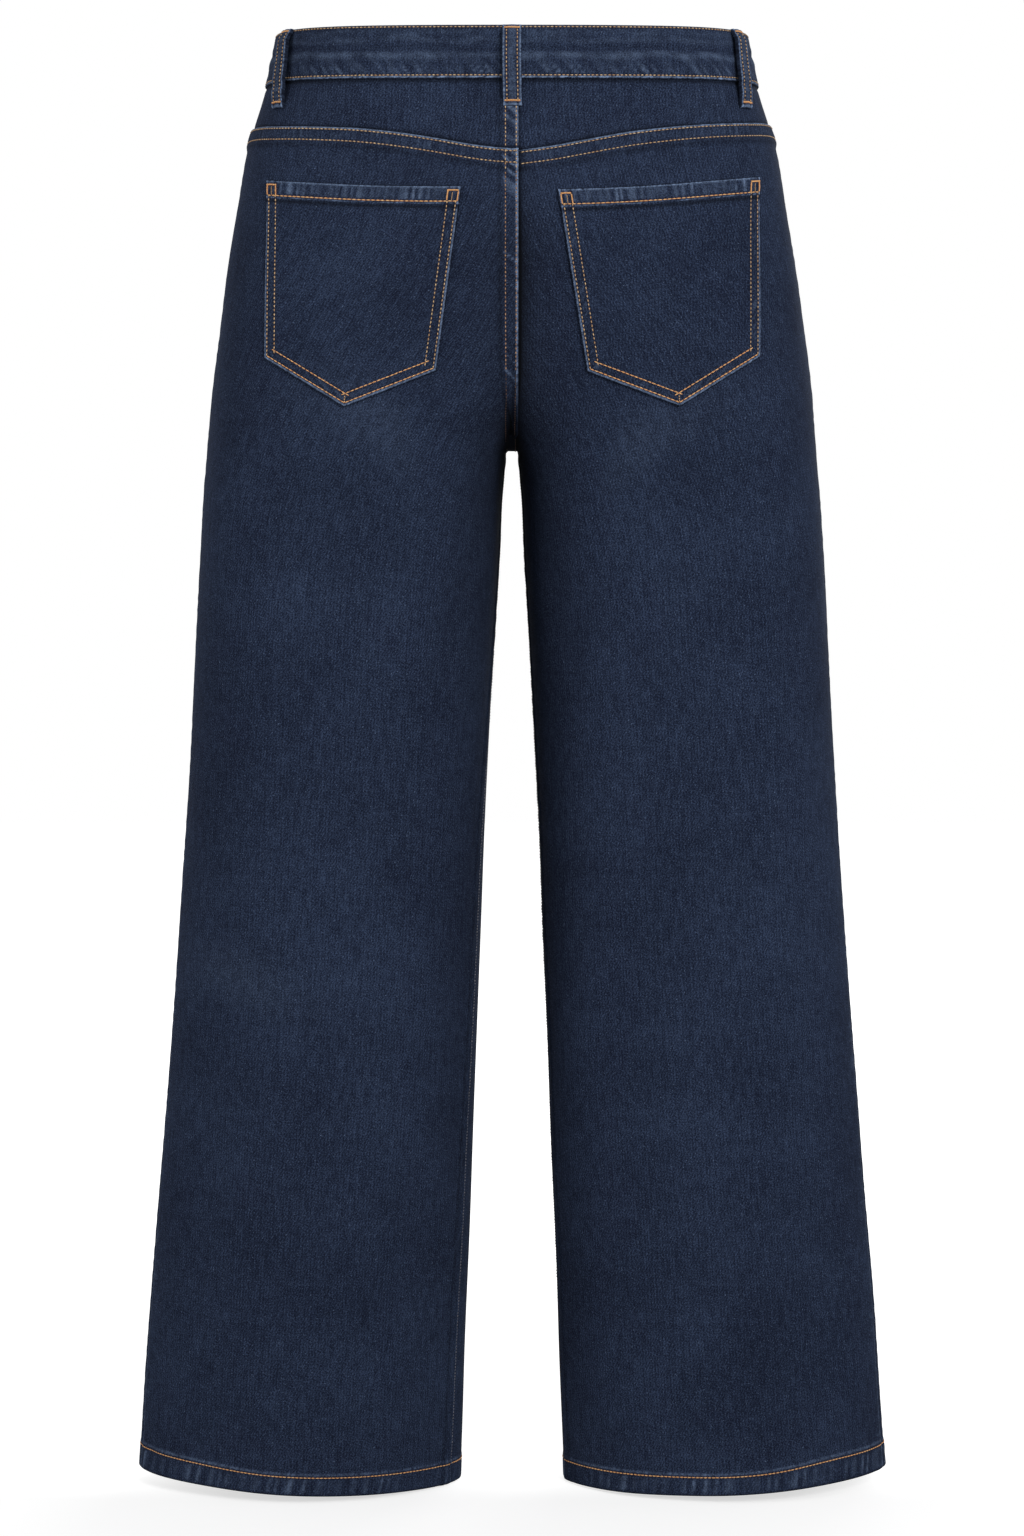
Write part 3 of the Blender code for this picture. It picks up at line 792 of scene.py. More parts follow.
def denim_material(name, deep, mid, pale, streak, wear_share):
    """Twill denim: a leaning grain of dark and light yarn, wales, pale flecks, worn edges, and
    painted shade where the stored values fall below 0.
    """
    n = Nodes(name)
    cloth = n.scaled(n.add("UVMap", {"uv_map": CLOTH_MAP}).outputs[0], 1 / MM, 1 / MM)
    place = n.add("TexCoord").outputs["Object"]
    axes = n.add("SeparateXYZ", None, {0: cloth})
    x, y = axes.outputs[0], axes.outputs[1]

    def turned(slope):
        """Coordinates across and along a slope."""
        sine, cosine = float(np.sin(slope)), float(np.cos(slope))
        across = n.math("MULTIPLY_ADD", y, -cosine, n.math("MULTIPLY", x, sine))
        along = n.math("MULTIPLY_ADD", y, sine, n.math("MULTIPLY", x, cosine))
        return n.add("CombineXYZ", None, {0: across, 1: along}).outputs[0], across

    lean = turned(GRAIN_SLOPE)[0]
    diagonal = turned(WALE_SLOPE)[1]
    unevenness = n.noise(n.scaled(cloth, 0.5, 0.5), 1.0)

    def stripes(across, length, drift):
        drift = n.math("MULTIPLY", unevenness, drift)
        return n.math("SINE", n.math("MULTIPLY_ADD", across, float(2 * np.pi / length), drift))

    wale, yarn = stripes(diagonal, WALE, 2.4), stripes(x, YARN, 5.0)
    grain = n.noise(n.scaled(lean, 1.0, 0.75), 1.25, 3.0, 0.55)
    slubs = n.noise(n.scaled(cloth, 0.5, 0.05), 1.0, 3.0, 0.65)
    patch = n.noise(cloth, 0.15, 3.0, 0.6)
    mottled = n.noise(place, 16.0, 3.0, 0.55)
    broad = n.noise(place, 4.5)

    shade = 0.45
    noises = ((grain, 2.25), (slubs, streak), (patch, 0.45), (mottled, 0.38), (broad, 0.3))
    for noise, strength in noises:
        shade = n.vary(noise, strength, shade)
    for wave, strength in ((wale, 0.075), (yarn, 0.07)):
        shade = n.math("MULTIPLY_ADD", wave, strength, shade)
    base = n.mix(n.math("POWER", n.ramp(shade, -0.15, 1.15), 1.7), deep, mid)

    curl = n.noise(n.scaled(lean, 1.0, 0.7), 0.42, 1.0)
    curl = n.math("ABSOLUTE", n.math("SUBTRACT", curl, 0.5))
    broken_up = n.ramp(n.noise(n.scaled(cloth, 1.0, 1.0), 0.5, 1.0), 0.52, 0.66)
    curled = n.math("MULTIPLY", n.ramp(curl, 0.035, 0.0), n.math("MULTIPLY", broken_up, 0.10))
    base = n.mix(curled, base, pale)
    fleck = n.ramp(n.noise(n.scaled(lean, 1.0, 0.7), 1.0, 1.0), 0.66, 0.80)
    base = n.mix(n.math("MULTIPLY", fleck, 0.42), base, pale)

    wear = n.stored("wear")
    broken = n.vary(patch, 2.0, n.vary(grain, 2.6, 0.85))
    worn = n.math("MULTIPLY", n.math("MULTIPLY", n.math("MAXIMUM", wear, 0.0), broken), wear_share)
    base = n.mix(n.held(worn), base, pale)
    # Painted shade: stored values below 0 mix the denim towards the shadow colour
    dark = n.math("MULTIPLY", n.math("MAXIMUM", n.math("MULTIPLY", wear, -1.0), 0.0), 0.9)
    base = n.mix(n.held(dark), base, SHADOW)

    relief = n.math("MULTIPLY_ADD", wale, 0.25, n.math("MULTIPLY", grain, 0.9))
    relief = n.math("MULTIPLY_ADD", yarn, 0.1, relief)
    return n.finish(base, n.bump(relief, 0.055 * MM), 1.0, 0.08)


def thread_material(name, bright, dull, dark):
    """Twisted sewing thread. Each stitch has its own tone. The grooves of its twist, and its ends
    where it dips into the cloth, are darkened with painted shade.
    """
    n = Nodes(name)
    tone, end = n.stored("tone"), n.stored("end")
    uv = n.add("UVMap", {"uv_map": CLOTH_MAP}).outputs[0]
    axes = n.add("SeparateXYZ", None, {0: n.scaled(uv, 1 / MM, 1.0)})
    twist = n.math("MULTIPLY_ADD", axes.outputs[0], 8.0, n.math("MULTIPLY", axes.outputs[1], 12.6))
    ply = n.math("SINE", twist)
    fibre = n.noise(n.scaled(uv, 1 / MM, 3.0), 2.0)
    base = n.mix(tone, bright, dull)
    # Painted shade in the grooves between the twisted plies
    base = n.mix(n.math("MULTIPLY", n.ramp(ply, 0.2, -1.0), 0.45), base, dark)
    base = n.mix(n.math("MULTIPLY", n.ramp(fibre, 0.45, 0.75), 0.25), base, dull)
    # Painted shade at the stitch's ends
    base = n.mix(n.math("MULTIPLY", end, 0.95), base, dark)
    return n.finish(base, n.bump(ply, 0.08 * MM), 0.6, 0.35)


def button_material():
    """Aged brass with a brushed, slightly tarnished face."""
    n = Nodes("aged_brass")
    place = n.add("TexCoord").outputs["Object"]
    tarnish = n.noise(place, 420.0, 4.0, 0.6)
    fine = n.noise(n.scaled(place, 1.0, 1.0, 8.0), 900.0)
    base = n.mix(n.ramp(tarnish, 0.35, 0.7), colour(176, 138, 88), colour(92, 66, 40))
    rough = n.math("MULTIPLY_ADD", tarnish, 0.3, 0.22)
    n.set(n.shader, {"Base Color": base, "Roughness": rough, "Metallic": 1.0})
    n.set(n.shader, {"Normal": n.bump(fine, 0.03 * MM)})
    return n.material


def thread_colours(name, *tones):
    return thread_material(name, *[colour(*tone) for tone in tones])


DENIM_FACE = (colour(18, 23, 39), colour(60, 74, 101), colour(124, 144, 176))
DENIM_INSIDE = (colour(62, 72, 92), colour(150, 160, 176), colour(176, 182, 190))
MATERIALS = {
    "denim": denim_material("denim_face", *DENIM_FACE, 0.7, 1.0),
    "inside": denim_material("denim_inside", *DENIM_INSIDE, 0.5, 0.6),
    "thread": thread_colours("tan_thread", (252, 220, 172), (212, 170, 124), (84, 52, 42)),
    "bright": thread_colours("orange_thread", (255, 214, 152), (244, 184, 118), (196, 128, 82)),
    # The next two threads are copies of the tan thread painted as in half shade and in deep shade
    "painted_half_shade": thread_colours("shaded_thread", (214, 170, 130), (150, 110, 84), (48, 30, 30)),
    "dark": thread_colours("dark_thread", (112, 80, 64), (62, 44, 40), (24, 16, 18)),
    "faded": thread_colours("faded_thread", (170, 168, 172), (106, 112, 130), (40, 42, 56)),
    "brass": button_material(),
}


# ---------------------------------------------------------------- building meshes


def new_piece(name, points, faces, materials):
    """A mesh object from points and faces, in the row frame, that moves with the part."""
    mesh = bpy.data.meshes.new(name)
    mesh.from_pydata((points * MM).tolist(), [], faces)
    mesh.shade_smooth()
    mesh.set_sharp_from_angle(angle=np.radians(55))
    for material in materials:
        mesh.materials.append(MATERIALS[material])
    piece = bpy.data.objects.new(name, mesh)
    bpy.context.scene.collection.objects.link(piece)
    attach(piece, "root")
    return piece


def add_map(mesh, u, v):
    corner = np.zeros(len(mesh.loops), dtype=np.int32)
    mesh.loops.foreach_get("vertex_index", corner)
    layer = mesh.uv_layers.new(name=CLOTH_MAP)
    places = np.stack([u[corner], v[corner]], axis=1).astype(np.float32)
    layer.uv.foreach_set("vector", places.ravel())


def add_number(mesh, name, values):
    mesh.attributes.new(name, "FLOAT", "POINT").data.foreach_set("value", values.astype(np.float32))


def closed(ring):
    """A ring's rows with their first column again at the end."""
    return np.concatenate([ring, ring[:, :1]], axis=1)


def grid_faces(ids, flip):
    """Quads of a grid of vertex numbers."""
    order = (ids[:-1, :-1], ids[:-1, 1:], ids[1:, 1:], ids[1:, :-1])
    return np.stack(order[::-1] if flip else order, axis=-1).reshape(-1, 4).tolist()


def every(count, step):
    """Numbers from 0 to count - 1, a step apart, with the last one."""
    return np.unique(np.append(np.arange(0, count, step), count - 1))


def rim_faces(outer, inner, stops, flip):
    """Faces between a fine edge and a coarse one with vertices at these stops of the fine one."""
    faces = []
    for k, (low, high) in enumerate(zip(stops, stops[1:])):
        face = [*outer[low : high + 1].tolist(), int(inner[k + 1]), int(inner[k])]
        faces.append(face[::-1] if flip else face)
    return faces


def shell_faces(ids, columns, fine, flip):
    """Quads of a grid of vertex numbers. Rows that aren't fine have only these columns."""
    faces = []
    starts = np.flatnonzero(np.diff(fine.astype(int))) + 1
    for run in np.split(np.arange(len(fine)), starts):
        first, last = run[0], run[-1] + 1
        if fine[first]:
            faces += grid_faces(ids[first : last + 1], flip)
            continue
        faces += rim_faces(ids[first], ids[first + 1, columns], columns, flip)
        faces += grid_faces(ids[first + 1 : last, columns], flip)
        faces += rim_faces(ids[last], ids[last - 1, columns], columns, not flip)
    return faces


def cloth_shell(name, cloth, wall, columns=None, fine=None, inner_step=3):
    """A closed wall: the sewn outer face, and a plainer inner face that shows the weft side."""
    outer = cloth.points()
    rows, count = outer.shape[:2]
    if columns is None:
        columns, fine = np.arange(count), np.ones(rows - 1, dtype=bool)
    row_stops = every(rows, inner_step)
    column_stops = columns[every(len(columns), inner_step)]
    pick = np.ix_(row_stops, column_stops)
    wall = np.broadcast_to(wall, outer.shape[:2])
    inner = (outer - cloth.outward * wall[..., None])[pick]
    ids = np.arange(rows * count).reshape(rows, count)
    inner_ids = rows * count + np.arange(inner[..., 0].size).reshape(inner.shape[:2])
    middle = (rows // 2, count // 2)
    right = outer[middle[0], middle[1] + 1] - outer[middle]
    down = outer[middle[0] + 1, middle[1]] - outer[middle]
    flip = bool(np.cross(right, down) @ cloth.outward[middle] < 0)
    faces = shell_faces(ids, columns, fine, flip)
    inside = slice(len(faces), len(faces) + (len(row_stops) - 1) * (len(column_stops) - 1))
    faces += grid_faces(inner_ids, not flip)
    for edge, stops, turned in (
        (np.s_[0], column_stops, not flip),
        (np.s_[-1], column_stops, flip),
        (np.s_[:, 0], row_stops, flip),
        (np.s_[:, -1], row_stops, not flip),
    ):
        faces += rim_faces(ids[edge], inner_ids[edge], stops, turned)
    used = np.unique(np.concatenate([np.array(face) for face in faces]))
    place = np.zeros(rows * count + inner_ids.size, dtype=int)
    place[used] = np.arange(len(used))
    points = np.concatenate([outer.reshape(-1, 3), inner.reshape(-1, 3)])[used]
    piece = new_piece(name, points, [place[face].tolist() for face in faces], ["denim", "inside"])
    slots = np.zeros(len(faces), dtype=np.int32)
    slots[inside] = 1
    piece.data.polygons.foreach_set("material_index", slots)
    axes = [np.concatenate([axis.ravel(), axis[pick].ravel()]) for axis in (cloth.u, cloth.v)]
    add_map(piece.data, *[axis[used] * MM for axis in axes])
    # These values carry the outer face's worn marks and painted shade; the inner faces take -0.6,
    # painted shade inside the hollow
    worn = np.concatenate([cloth.wear.ravel(), np.full(inner_ids.size, -0.6)])[used]
    add_number(piece.data, "wear", worn)
    return piece


# ---------------------------------------------------------------- stitches

# One stitch along X, a unit long and with a unit radius
# The end column is how much painted shade darkens the thread at that station
STATIONS = table(
    "x radius height end",
    (-0.50, 0.60, -0.60, 1.0),
    (-0.32, 0.92, 0.20, 0.75),
    (0.0, 1.0, 0.55, 0.0),
    (0.32, 0.92, 0.20, 0.75),
    (0.50, 0.60, -0.60, 1.0),
)
STITCH_SIDES = 5


class Stitches:
    """Collects stitches, and makes them one joined mesh for each kind of thread."""

    def __init__(self, seed):
        self.random = np.random.default_rng(seed)
        self.found = {}

    def lay(self, thread, middles, along, outward, lengths, radius):
        count = len(middles)
        tones = self.random.uniform(0, 1, count)
        group = (middles, along, outward, lengths, np.full(count, radius), tones)
        self.found.setdefault(thread, []).append(group)

    def row(self, path, thread="thread", pitch=PITCH, fill=0.86, radius=THREAD):
        """A stitch row along (points, outward directions)."""
        points, outward = path
        if len(points) < 2:
            return
        length = run_length(points)
        count = max(1, int(round(length[-1] / pitch)))
        step = length[-1] / count
        places = (np.arange(count) + 0.5) * step + self.random.uniform(-0.04, 0.04, count) * step
        start, end = [resample(places + half * fill * step, length, points) for half in (-0.5, 0.5)]
        lengths = np.linalg.norm(end - start, axis=1) * self.random.uniform(0.94, 1.05, count)
        out = unit(resample(places, length, outward))
        self.lay(thread, (start + end) / 2, unit(end - start), out, lengths, radius)

    def tack(self, path, width, thread="bright", pitch=0.55, radius=0.34):
        """A bar tack: close stitches across a short line of (points, outward directions)."""
        points, outward = path
        if len(points) < 2:
            return
        length = run_length(points)
        count = max(2, int(round(length[-1] / pitch)))
        places = (np.arange(count) + 0.5) / count * length[-1]
        middles = resample(places, length, points)
        out = unit(resample(places, length, outward))
        line = unit(np.gradient(middles, axis=0))
        either_way = np.where(np.arange(count) % 2, 1, -1)[:, None]
        lean = unit(np.cross(out, line)) + line * 0.2 * either_way
        lengths = width * self.random.uniform(0.85, 1.1, count)
        self.lay(thread, middles + out * 0.15, unit(lean), out, lengths, radius)

    def build(self, name):
        """Joins what was collected into pieces, one for each thread."""
        made = []
        x, thick, high, end = np.repeat(np.array(STATIONS), STITCH_SIDES, axis=0).T
        around = np.tile(2 * np.pi * np.arange(STITCH_SIDES) / STITCH_SIDES, len(STATIONS))
        ids = np.arange(len(x)).reshape(-1, STITCH_SIDES)
        ring = closed(ids)
        corners = (ring[:-1, :-1], ring[1:, :-1], ring[1:, 1:], ring[:-1, 1:])
        sides = np.stack(corners, axis=-1).reshape(-1, 4)
        caps = [ids[0], ids[-1][::-1]]
        for thread, groups in self.found.items():
            middles, along, outward, lengths, radius, tones = map(np.concatenate, zip(*groups))
            across = unit(np.cross(outward, along))
            count = len(middles)
            shift = (
                (along, x * lengths[:, None]),
                (across, np.cos(around) * thick * radius[:, None]),
                (np.cross(along, across), (np.sin(around) * thick + high) * radius[:, None]),
            )
            points = middles[:, None] + sum(way[:, None] * far[..., None] for way, far in shift)
            first = np.arange(count) * len(x)
            faces = (sides[None] + first[:, None, None]).reshape(-1, 4).tolist()
            faces += [(cap + start).tolist() for start in first for cap in caps]
            piece = new_piece(f"{name}_{thread}", points.reshape(-1, 3), faces, [thread])
            add_map(piece.data, shift[0][1].ravel() * MM, np.tile(around / (2 * np.pi), count))
            add_number(piece.data, "tone", np.repeat(tones, len(x)))
            add_number(piece.data, "end", np.tile(end, count))
            made.append(piece)
        return made


# ---------------------------------------------------------------- the pieces

FAR = 1000.0  # past every edge


def finish_cloth(name, kind, held, rests_on, cloth, wall, stitches=None, pieces=(), **shell):
    """Makes a piece of cloth and its stitches, and hides the solid of the same name."""
    piece = cloth_shell(name + "_cloth", cloth, wall, **shell)
    pieces = [*pieces, *(stitches.build(name + "_stitches") if stitches else ())]
    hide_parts(name)


def leg_columns():
    """Column shares of a leg panel, and which of them are kept between its sewn ends."""
    shares = graded("leg_across")
    near = np.flatnonzero(np.minimum(shares, 1 - shares) * GRIDS["leg_across"].length < SEWN_SIDE)
    left, right = near[near < len(shares) // 2][-1], near[near > len(shares) // 2][0]
    between_ends = np.arange(left, right, 3)
    kept = np.concatenate([np.arange(left), between_ends, np.arange(right, len(shares))])
    return shares, kept


def leg_rows(top, hem):
    return top + (hem - top) * graded("leg_down")[:, None]


def above_hem(cloth):
    """Height above the hem edge, measured so that the hem's stitch row is level at HEM_ROW."""
    inner, outer = HEM_RISE[cloth.side]
    turned = np.cos(cloth.angles)
    rise = turned**2 * np.where(turned > 0, outer, inner)
    rise = rise + (1.4 + 0.7 * cloth.side) * ridge(turned, 0.68, 0.3)
    return cloth.from_bottom * HEM_ROW / (HEM_ROW + rise)


def sew_hem(cloth, seed):
    """A hem folded twice: thicker, roped by its stitching, and round at its edge, with painted
    shade along that edge.
    """
    up, along = above_hem(cloth), cloth.from_inner
    cloth.terrace(up, 14.4, 2.8, lift=0.9 - 0.45 * np.cos(cloth.angles) ** 8)
    cloth.lift += rounded(up, 1.4)
    pucker(cloth, along - 0.2 * cloth.side * up, between(up, 1.5, 12.5, 5), "hem", seed)
    cloth.line(up, at=15.6, width=1.0, wear=0.42, share=frayed(along, 3.1, seed + 300))
    cloth.wear += 0.05 * between(up, 1.0, 13.0, 3)
    # Painted shade along the hem's bottom edge, where it turns under
    cloth.line(up, at=0.0, width=1.2, wear=-0.45)
    press_row(cloth, up, HEM_ROW)


def sew_outseam(cloth, seed, worn=0.0):
    """A plain seam, pressed open: two soft edges with a groove between, in shallow puckers; the
    groove is darkened with painted shade.
    """
    gap, along = cloth.from_outer, cloth.from_top
    cloth.lift += rounded(gap, 0.8)
    cloth.line(gap, at=6, width=5, lift=0.35)
    pucker(cloth, along, between(gap, 0.0, 11, 6), "outseam", seed)
    # Painted shade in the seam's groove
    cloth.line(gap, at=0.0, width=0.9, wear=-0.45)
    low = below(cloth.heights, -520, 120)
    cloth.line(gap, at=1.5, width=0.8, wear=worn, share=low * frayed(along, 4.1, seed + 300))


def finish_leg(name, kind, cloth, columns, stitches, fill, radius, pieces=()):
    hem = cloth.path(across_line(above_hem(cloth), HEM_ROW))
    stitches.row(hem, "bright", fill=fill, radius=radius)
    wall = CLOTH + (HEM_WALL - CLOTH) * (cloth.from_bottom < HEM_HEIGHT)
    at_top, at_hem = cloth.from_top.mean(axis=1), cloth.from_bottom.mean(axis=1)
    sewn = (at_top < SEWN_TOP) | (at_hem < SEWN_HEM)
    shell = {"columns": columns, "fine": sewn[:-1] | sewn[1:]}
    finish_cloth(name, kind, "hung", ["waistband"], cloth, wall, stitches, pieces, **shell)


def make_back(side, stitches):
    shares, columns = leg_columns()
    top = yoke_seam(side, level_x(YOKE_SIDE, back_angles(side, YOKE_SIDE, shares)))
    heights = leg_rows(top, hem_line(side, back_angles, shares))
    cloth = ring_cloth(side, heights, back_angles(side, heights, shares))
    crease_cloth(cloth)
    inner_gap, top_gap, level = cloth.from_inner, cloth.from_top, cloth.heights
    seat, leg = above(level, SEAT_LOW, 8), below(level, CROTCH, LEG_SOFT)
    lap_edge(cloth, top_gap, inner_gap, YOKE_ROWS[1] + 2, LAP, 50 + side, 0.9)
    pucker(cloth, inner_gap, between(top_gap, 1.0, 12.0, 2), "yoke", 52 + side)
    for row in YOKE_ROWS:
        press_row(cloth, top_gap, row)
    if side == -1:
        worn = 1.8 - 1.2 * below(level, -120, 130)
        lap_edge(cloth, inner_gap, top_gap, CENTRE_ROWS[1] + 2, LAP, 55, worn, seat)
        window = between(inner_gap, 1.0, 11.0, 2.5) * seat
        pucker(cloth, top_gap + 0.8 * inner_gap, window, "centre_seat", 56)
        # Painted shade on the left leg's inner side
        cloth.wear -= 0.07 * above(-np.cos(cloth.angles), 0.25, 0.5)
    else:
        cloth.terrace(inner_gap, 3, 5, lift=-0.6, share=seat)
        # Painted shadow of the left half's lapped edge on the right half beside it
        cloth.line(inner_gap, at=4.2, width=2.0, wear=-0.7, share=seat)
        cloth.line(inner_gap, at=7.0, width=6.0, wear=-0.35, share=seat)
    # Painted shade: the seat is darkened close beside the centre seam, more on the right, and
    # nearly to black in the crotch valley
    dark = -0.36 - 0.12 * side
    cloth.line(cloth.own_x, at=0.0, width=30, wear=dark, share=below(level, -85, 60))
    cloth.line(cloth.own_x, at=0.0, width=7, wear=-0.85, share=below(level, -234, 34))
    lap_edge(cloth, inner_gap, top_gap, 8, 0.8, 58 + side, 0.45, leg)
    window = between(inner_gap, 0.5, 11, 5) * below(level, -300, 50)
    pucker(cloth, top_gap, window, "inseam", 60 + side)
    sew_outseam(cloth, 62 + side, worn=0.6)
    sew_hem(cloth, 64 + side)

    start = 5.4 if side == 1 else -4.4
    for row in YOKE_ROWS:
        stitches.row(cloth.path(across_line(top_gap, row), (cloth.own_x, start, FAR)), fill=0.96)
    pieces = []
    if side == -1:
        for row, end in zip(CENTRE_ROWS, CENTRE_ENDS):
            line = down_line(cloth.own_x, row - CENTRE_LAP + SEAM_GAP / 2)
            stops = (0.0, DIM_BELOW, DARK_BELOW, end)
            for thread, high, low in zip(("thread", "painted_half_shade", "dark"), stops, stops[1:]):
                path = cloth.path(line, (top_gap, 0.8, FAR), (level, low, high))
                stitches.row(path, thread, fill=0.82)
        pieces.append(make_crotch_seam(stitches))
    path = cloth.path(down_line(inner_gap, INSEAM_ROW), (level, *INSEAM_SEWN))
    # On the right leg the inseam's stitches use the thread painted as in deep shade
    stitches.row(path, "faded" if side == -1 else "dark", pitch=2.2, fill=0.75, radius=0.34)
    name = "back_panel_" + SIDE_NAMES[side]
    finish_leg(name, "back_panel", cloth, columns, stitches, fill=0.98, radius=0.38, pieces=pieces)


def make_crotch_seam(stitches):
    """The thick seam that runs under the crotch, from the centre back seam to the front one."""
    level = CROTCH - 0.05 + 11 * (1 - np.linspace(0.0, 1.0, 24)) ** 2
    rear, front = [plain_ring(level, angle_at(level, back, SEAM_GAP / 2)) for back in (True, False)]
    line = np.concatenate([rear, front[::-1]]) - (0, 0, 0.4)
    length = run_length(line)
    stops = np.linspace(0.0, length[-1], 50)
    line = resample(stops, length, line)
    along = unit(np.gradient(line, axis=0) * (0.0, 1.0, 1.0))
    outward = np.stack([0 * stops, along[:, 2], -along[:, 1]], axis=1)
    width = np.tile(np.linspace(-4.3, 4.5, 9), (len(stops), 1))
    base = np.stack([width, *[np.tile(line[:, k : k + 1], 9) for k in (1, 2)]], axis=-1)
    cloth = Cloth(1, base[..., 2], width, base, np.broadcast_to(outward[:, None], base.shape))
    cloth.u, cloth.v = width, np.tile(stops[:, None], 9)
    cloth.lift += 2.4 + rounded(np.minimum(cloth.from_inner, cloth.from_outer), 0.9)
    # Painted shade on the seam under the crotch, fading out towards its front end
    cloth.wear -= 0.9 * below(base[..., 1], 60, 60)
    # Its rows use the thread painted as in deep shade
    for x in CROTCH_ROWS:
        stitches.row(cloth.path(down_line(width, x)), "dark", fill=0.8)
    return cloth_shell("crotch_seam_end", cloth, 2.0)


def scoop_line():
    """A front panel's top edge: along the waistband, then down round the hip pocket opening."""
    x = np.linspace(-FLY_REACH, SCOOP_X, 60)
    band = BAND_BOTTOM - band_dip(angle_at(np.full_like(x, BAND_BOTTOM), False, x)) - SEAM_GAP
    turn = np.linspace(0.0, np.pi / 2, 160)
    far, start = section_at(SCOOP_DEPTH).width, BAND_BOTTOM - FRONT_DIP
    curve_x = SCOOP_X + (far - SCOOP_X) * (1 - np.cos(turn))
    curve_z = start + (SCOOP_DEPTH - start) * np.sin(turn)
    return np.concatenate([x, curve_x]), np.concatenate([band, curve_z]), len(x)


def front_cloth(side, shares):
    """A front panel, and how far its points are from the hip pocket opening."""
    x, z, corner = scoop_line()
    start = level_x(BAND_BOTTOM, front_angles(side, BAND_BOTTOM, np.array([0.0])))[0]
    shown = np.arange(len(x)) >= np.searchsorted(x[:corner], start)
    corner -= np.count_nonzero(~shown)
    x, z = x[shown], z[shown]
    angles = angle_at(z, False, x)
    last = front_edges(side, np.array([SCOOP_DEPTH]))[1]
    level_end = np.linspace(angles[-1:], last, 30)[1:, 0]
    angles = np.concatenate([angles, level_end])
    z = np.append(z, np.full_like(level_end, SCOOP_DEPTH))
    edge = plain_ring(z, angles)
    along = run_length(edge)
    at_band = 0.16  # share of the columns that end at the waistband
    wanted = np.interp(shares, (0, at_band, 1), (0, along[corner], along[-1]))
    top = np.interp(wanted, along, z)
    inner, outer = front_edges(side, top)
    top_shares = np.clip((np.interp(wanted, along, angles) - inner) / (outer - inner), 0.0, 1.0)
    top_shares[0], top_shares[-1] = 0.0, 1.0
    heights = leg_rows(top, hem_line(side, front_angles, shares))
    ruled = np.clip((heights - FLY_END) / (top - FLY_END), 0.0, 1.0)
    shares = shares + (top_shares - shares) * ruled
    cloth = ring_cloth(side, heights, front_angles(side, heights, shares))
    return cloth, distance_to(cloth.base, edge[corner:] * (side, 1.0, 1.0))


def make_front(side, stitches):
    shares, columns = leg_columns()
    cloth, scoop = front_cloth(side, shares)
    crease_cloth(cloth)
    inner_gap, top_gap, level = cloth.from_inner, cloth.from_top, cloth.heights
    leg = below(level, CROTCH, LEG_SOFT)
    share = above(cloth.from_outer, 2, 22)
    lap_edge(cloth, scoop, top_gap + inner_gap, 9, LAP, 70 + side, 0.8, share)
    if side == -1:
        lap_edge(cloth, inner_gap, top_gap, 9, LAP, 72, 0.6, above(level, -262, 22))
    else:
        cloth.terrace(inner_gap, 4, 5, lift=-0.5, share=1 - leg)
    sew_outseam(cloth, 74 + side)
    sew_hem(cloth, 76 + side)
    cloth.lift += leg * rounded(inner_gap, 0.5)
    # Painted shade along the leg's inner edge below the crotch
    cloth.line(inner_gap, at=0.0, width=1.4, wear=-0.5, share=leg)

    for row in SCOOP_ROWS:
        stitches.row(cloth.path(across_line(scoop, row), (scoop, 0.9 * row, 1.1 * row)))
    if side == -1:
        for row in FLY_ROWS:
            height = blend_places(level, *down_line(inner_gap, row).T)
            turn = np.clip((FLY_BEND - height) / (FLY_BEND - FLY_END), 0.0, 1.0)
            line = down_line(inner_gap, row * np.sqrt(1 - turn**2))
            stitches.row(cloth.path(line[(height < FLY_SEWN_TOP) & (turn < 0.995)]))
        for row in FRONT_ROWS:
            stitches.row(cloth.path(down_line(inner_gap, row), (level, *FRONT_SEWN)))
    name = "front_panel_" + SIDE_NAMES[side]
    finish_leg(name, "front_panel", cloth, columns, stitches, fill=0.97, radius=0.42)


def make_facing(side):
    """The cloth that shows behind a hip pocket's opening."""
    shares, down = graded("facing_across"), graded("facing_down")[:, None]
    heights = BAND_BOTTOM - SEAM_GAP - FACING_TUCK - FACING_FALL * down
    inner = angle_at(heights, False, FACING_X)
    outer = seam_angle(heights, OUTSEAM[side]) - half_gap_angle(heights)
    angles = inner + (outer - inner) * shares
    heights = heights - (band_dip(angles) - FACING_TUCK) * (1 - down)
    cloth = ring_cloth(side, heights, angles, -CLOTH - SEAM_GAP)
    crease_cloth(cloth)
    name = "pocket_facing_" + SIDE_NAMES[side]
    finish_cloth(name, "pocket_facing", "hung", ["waistband"], cloth, CLOTH)


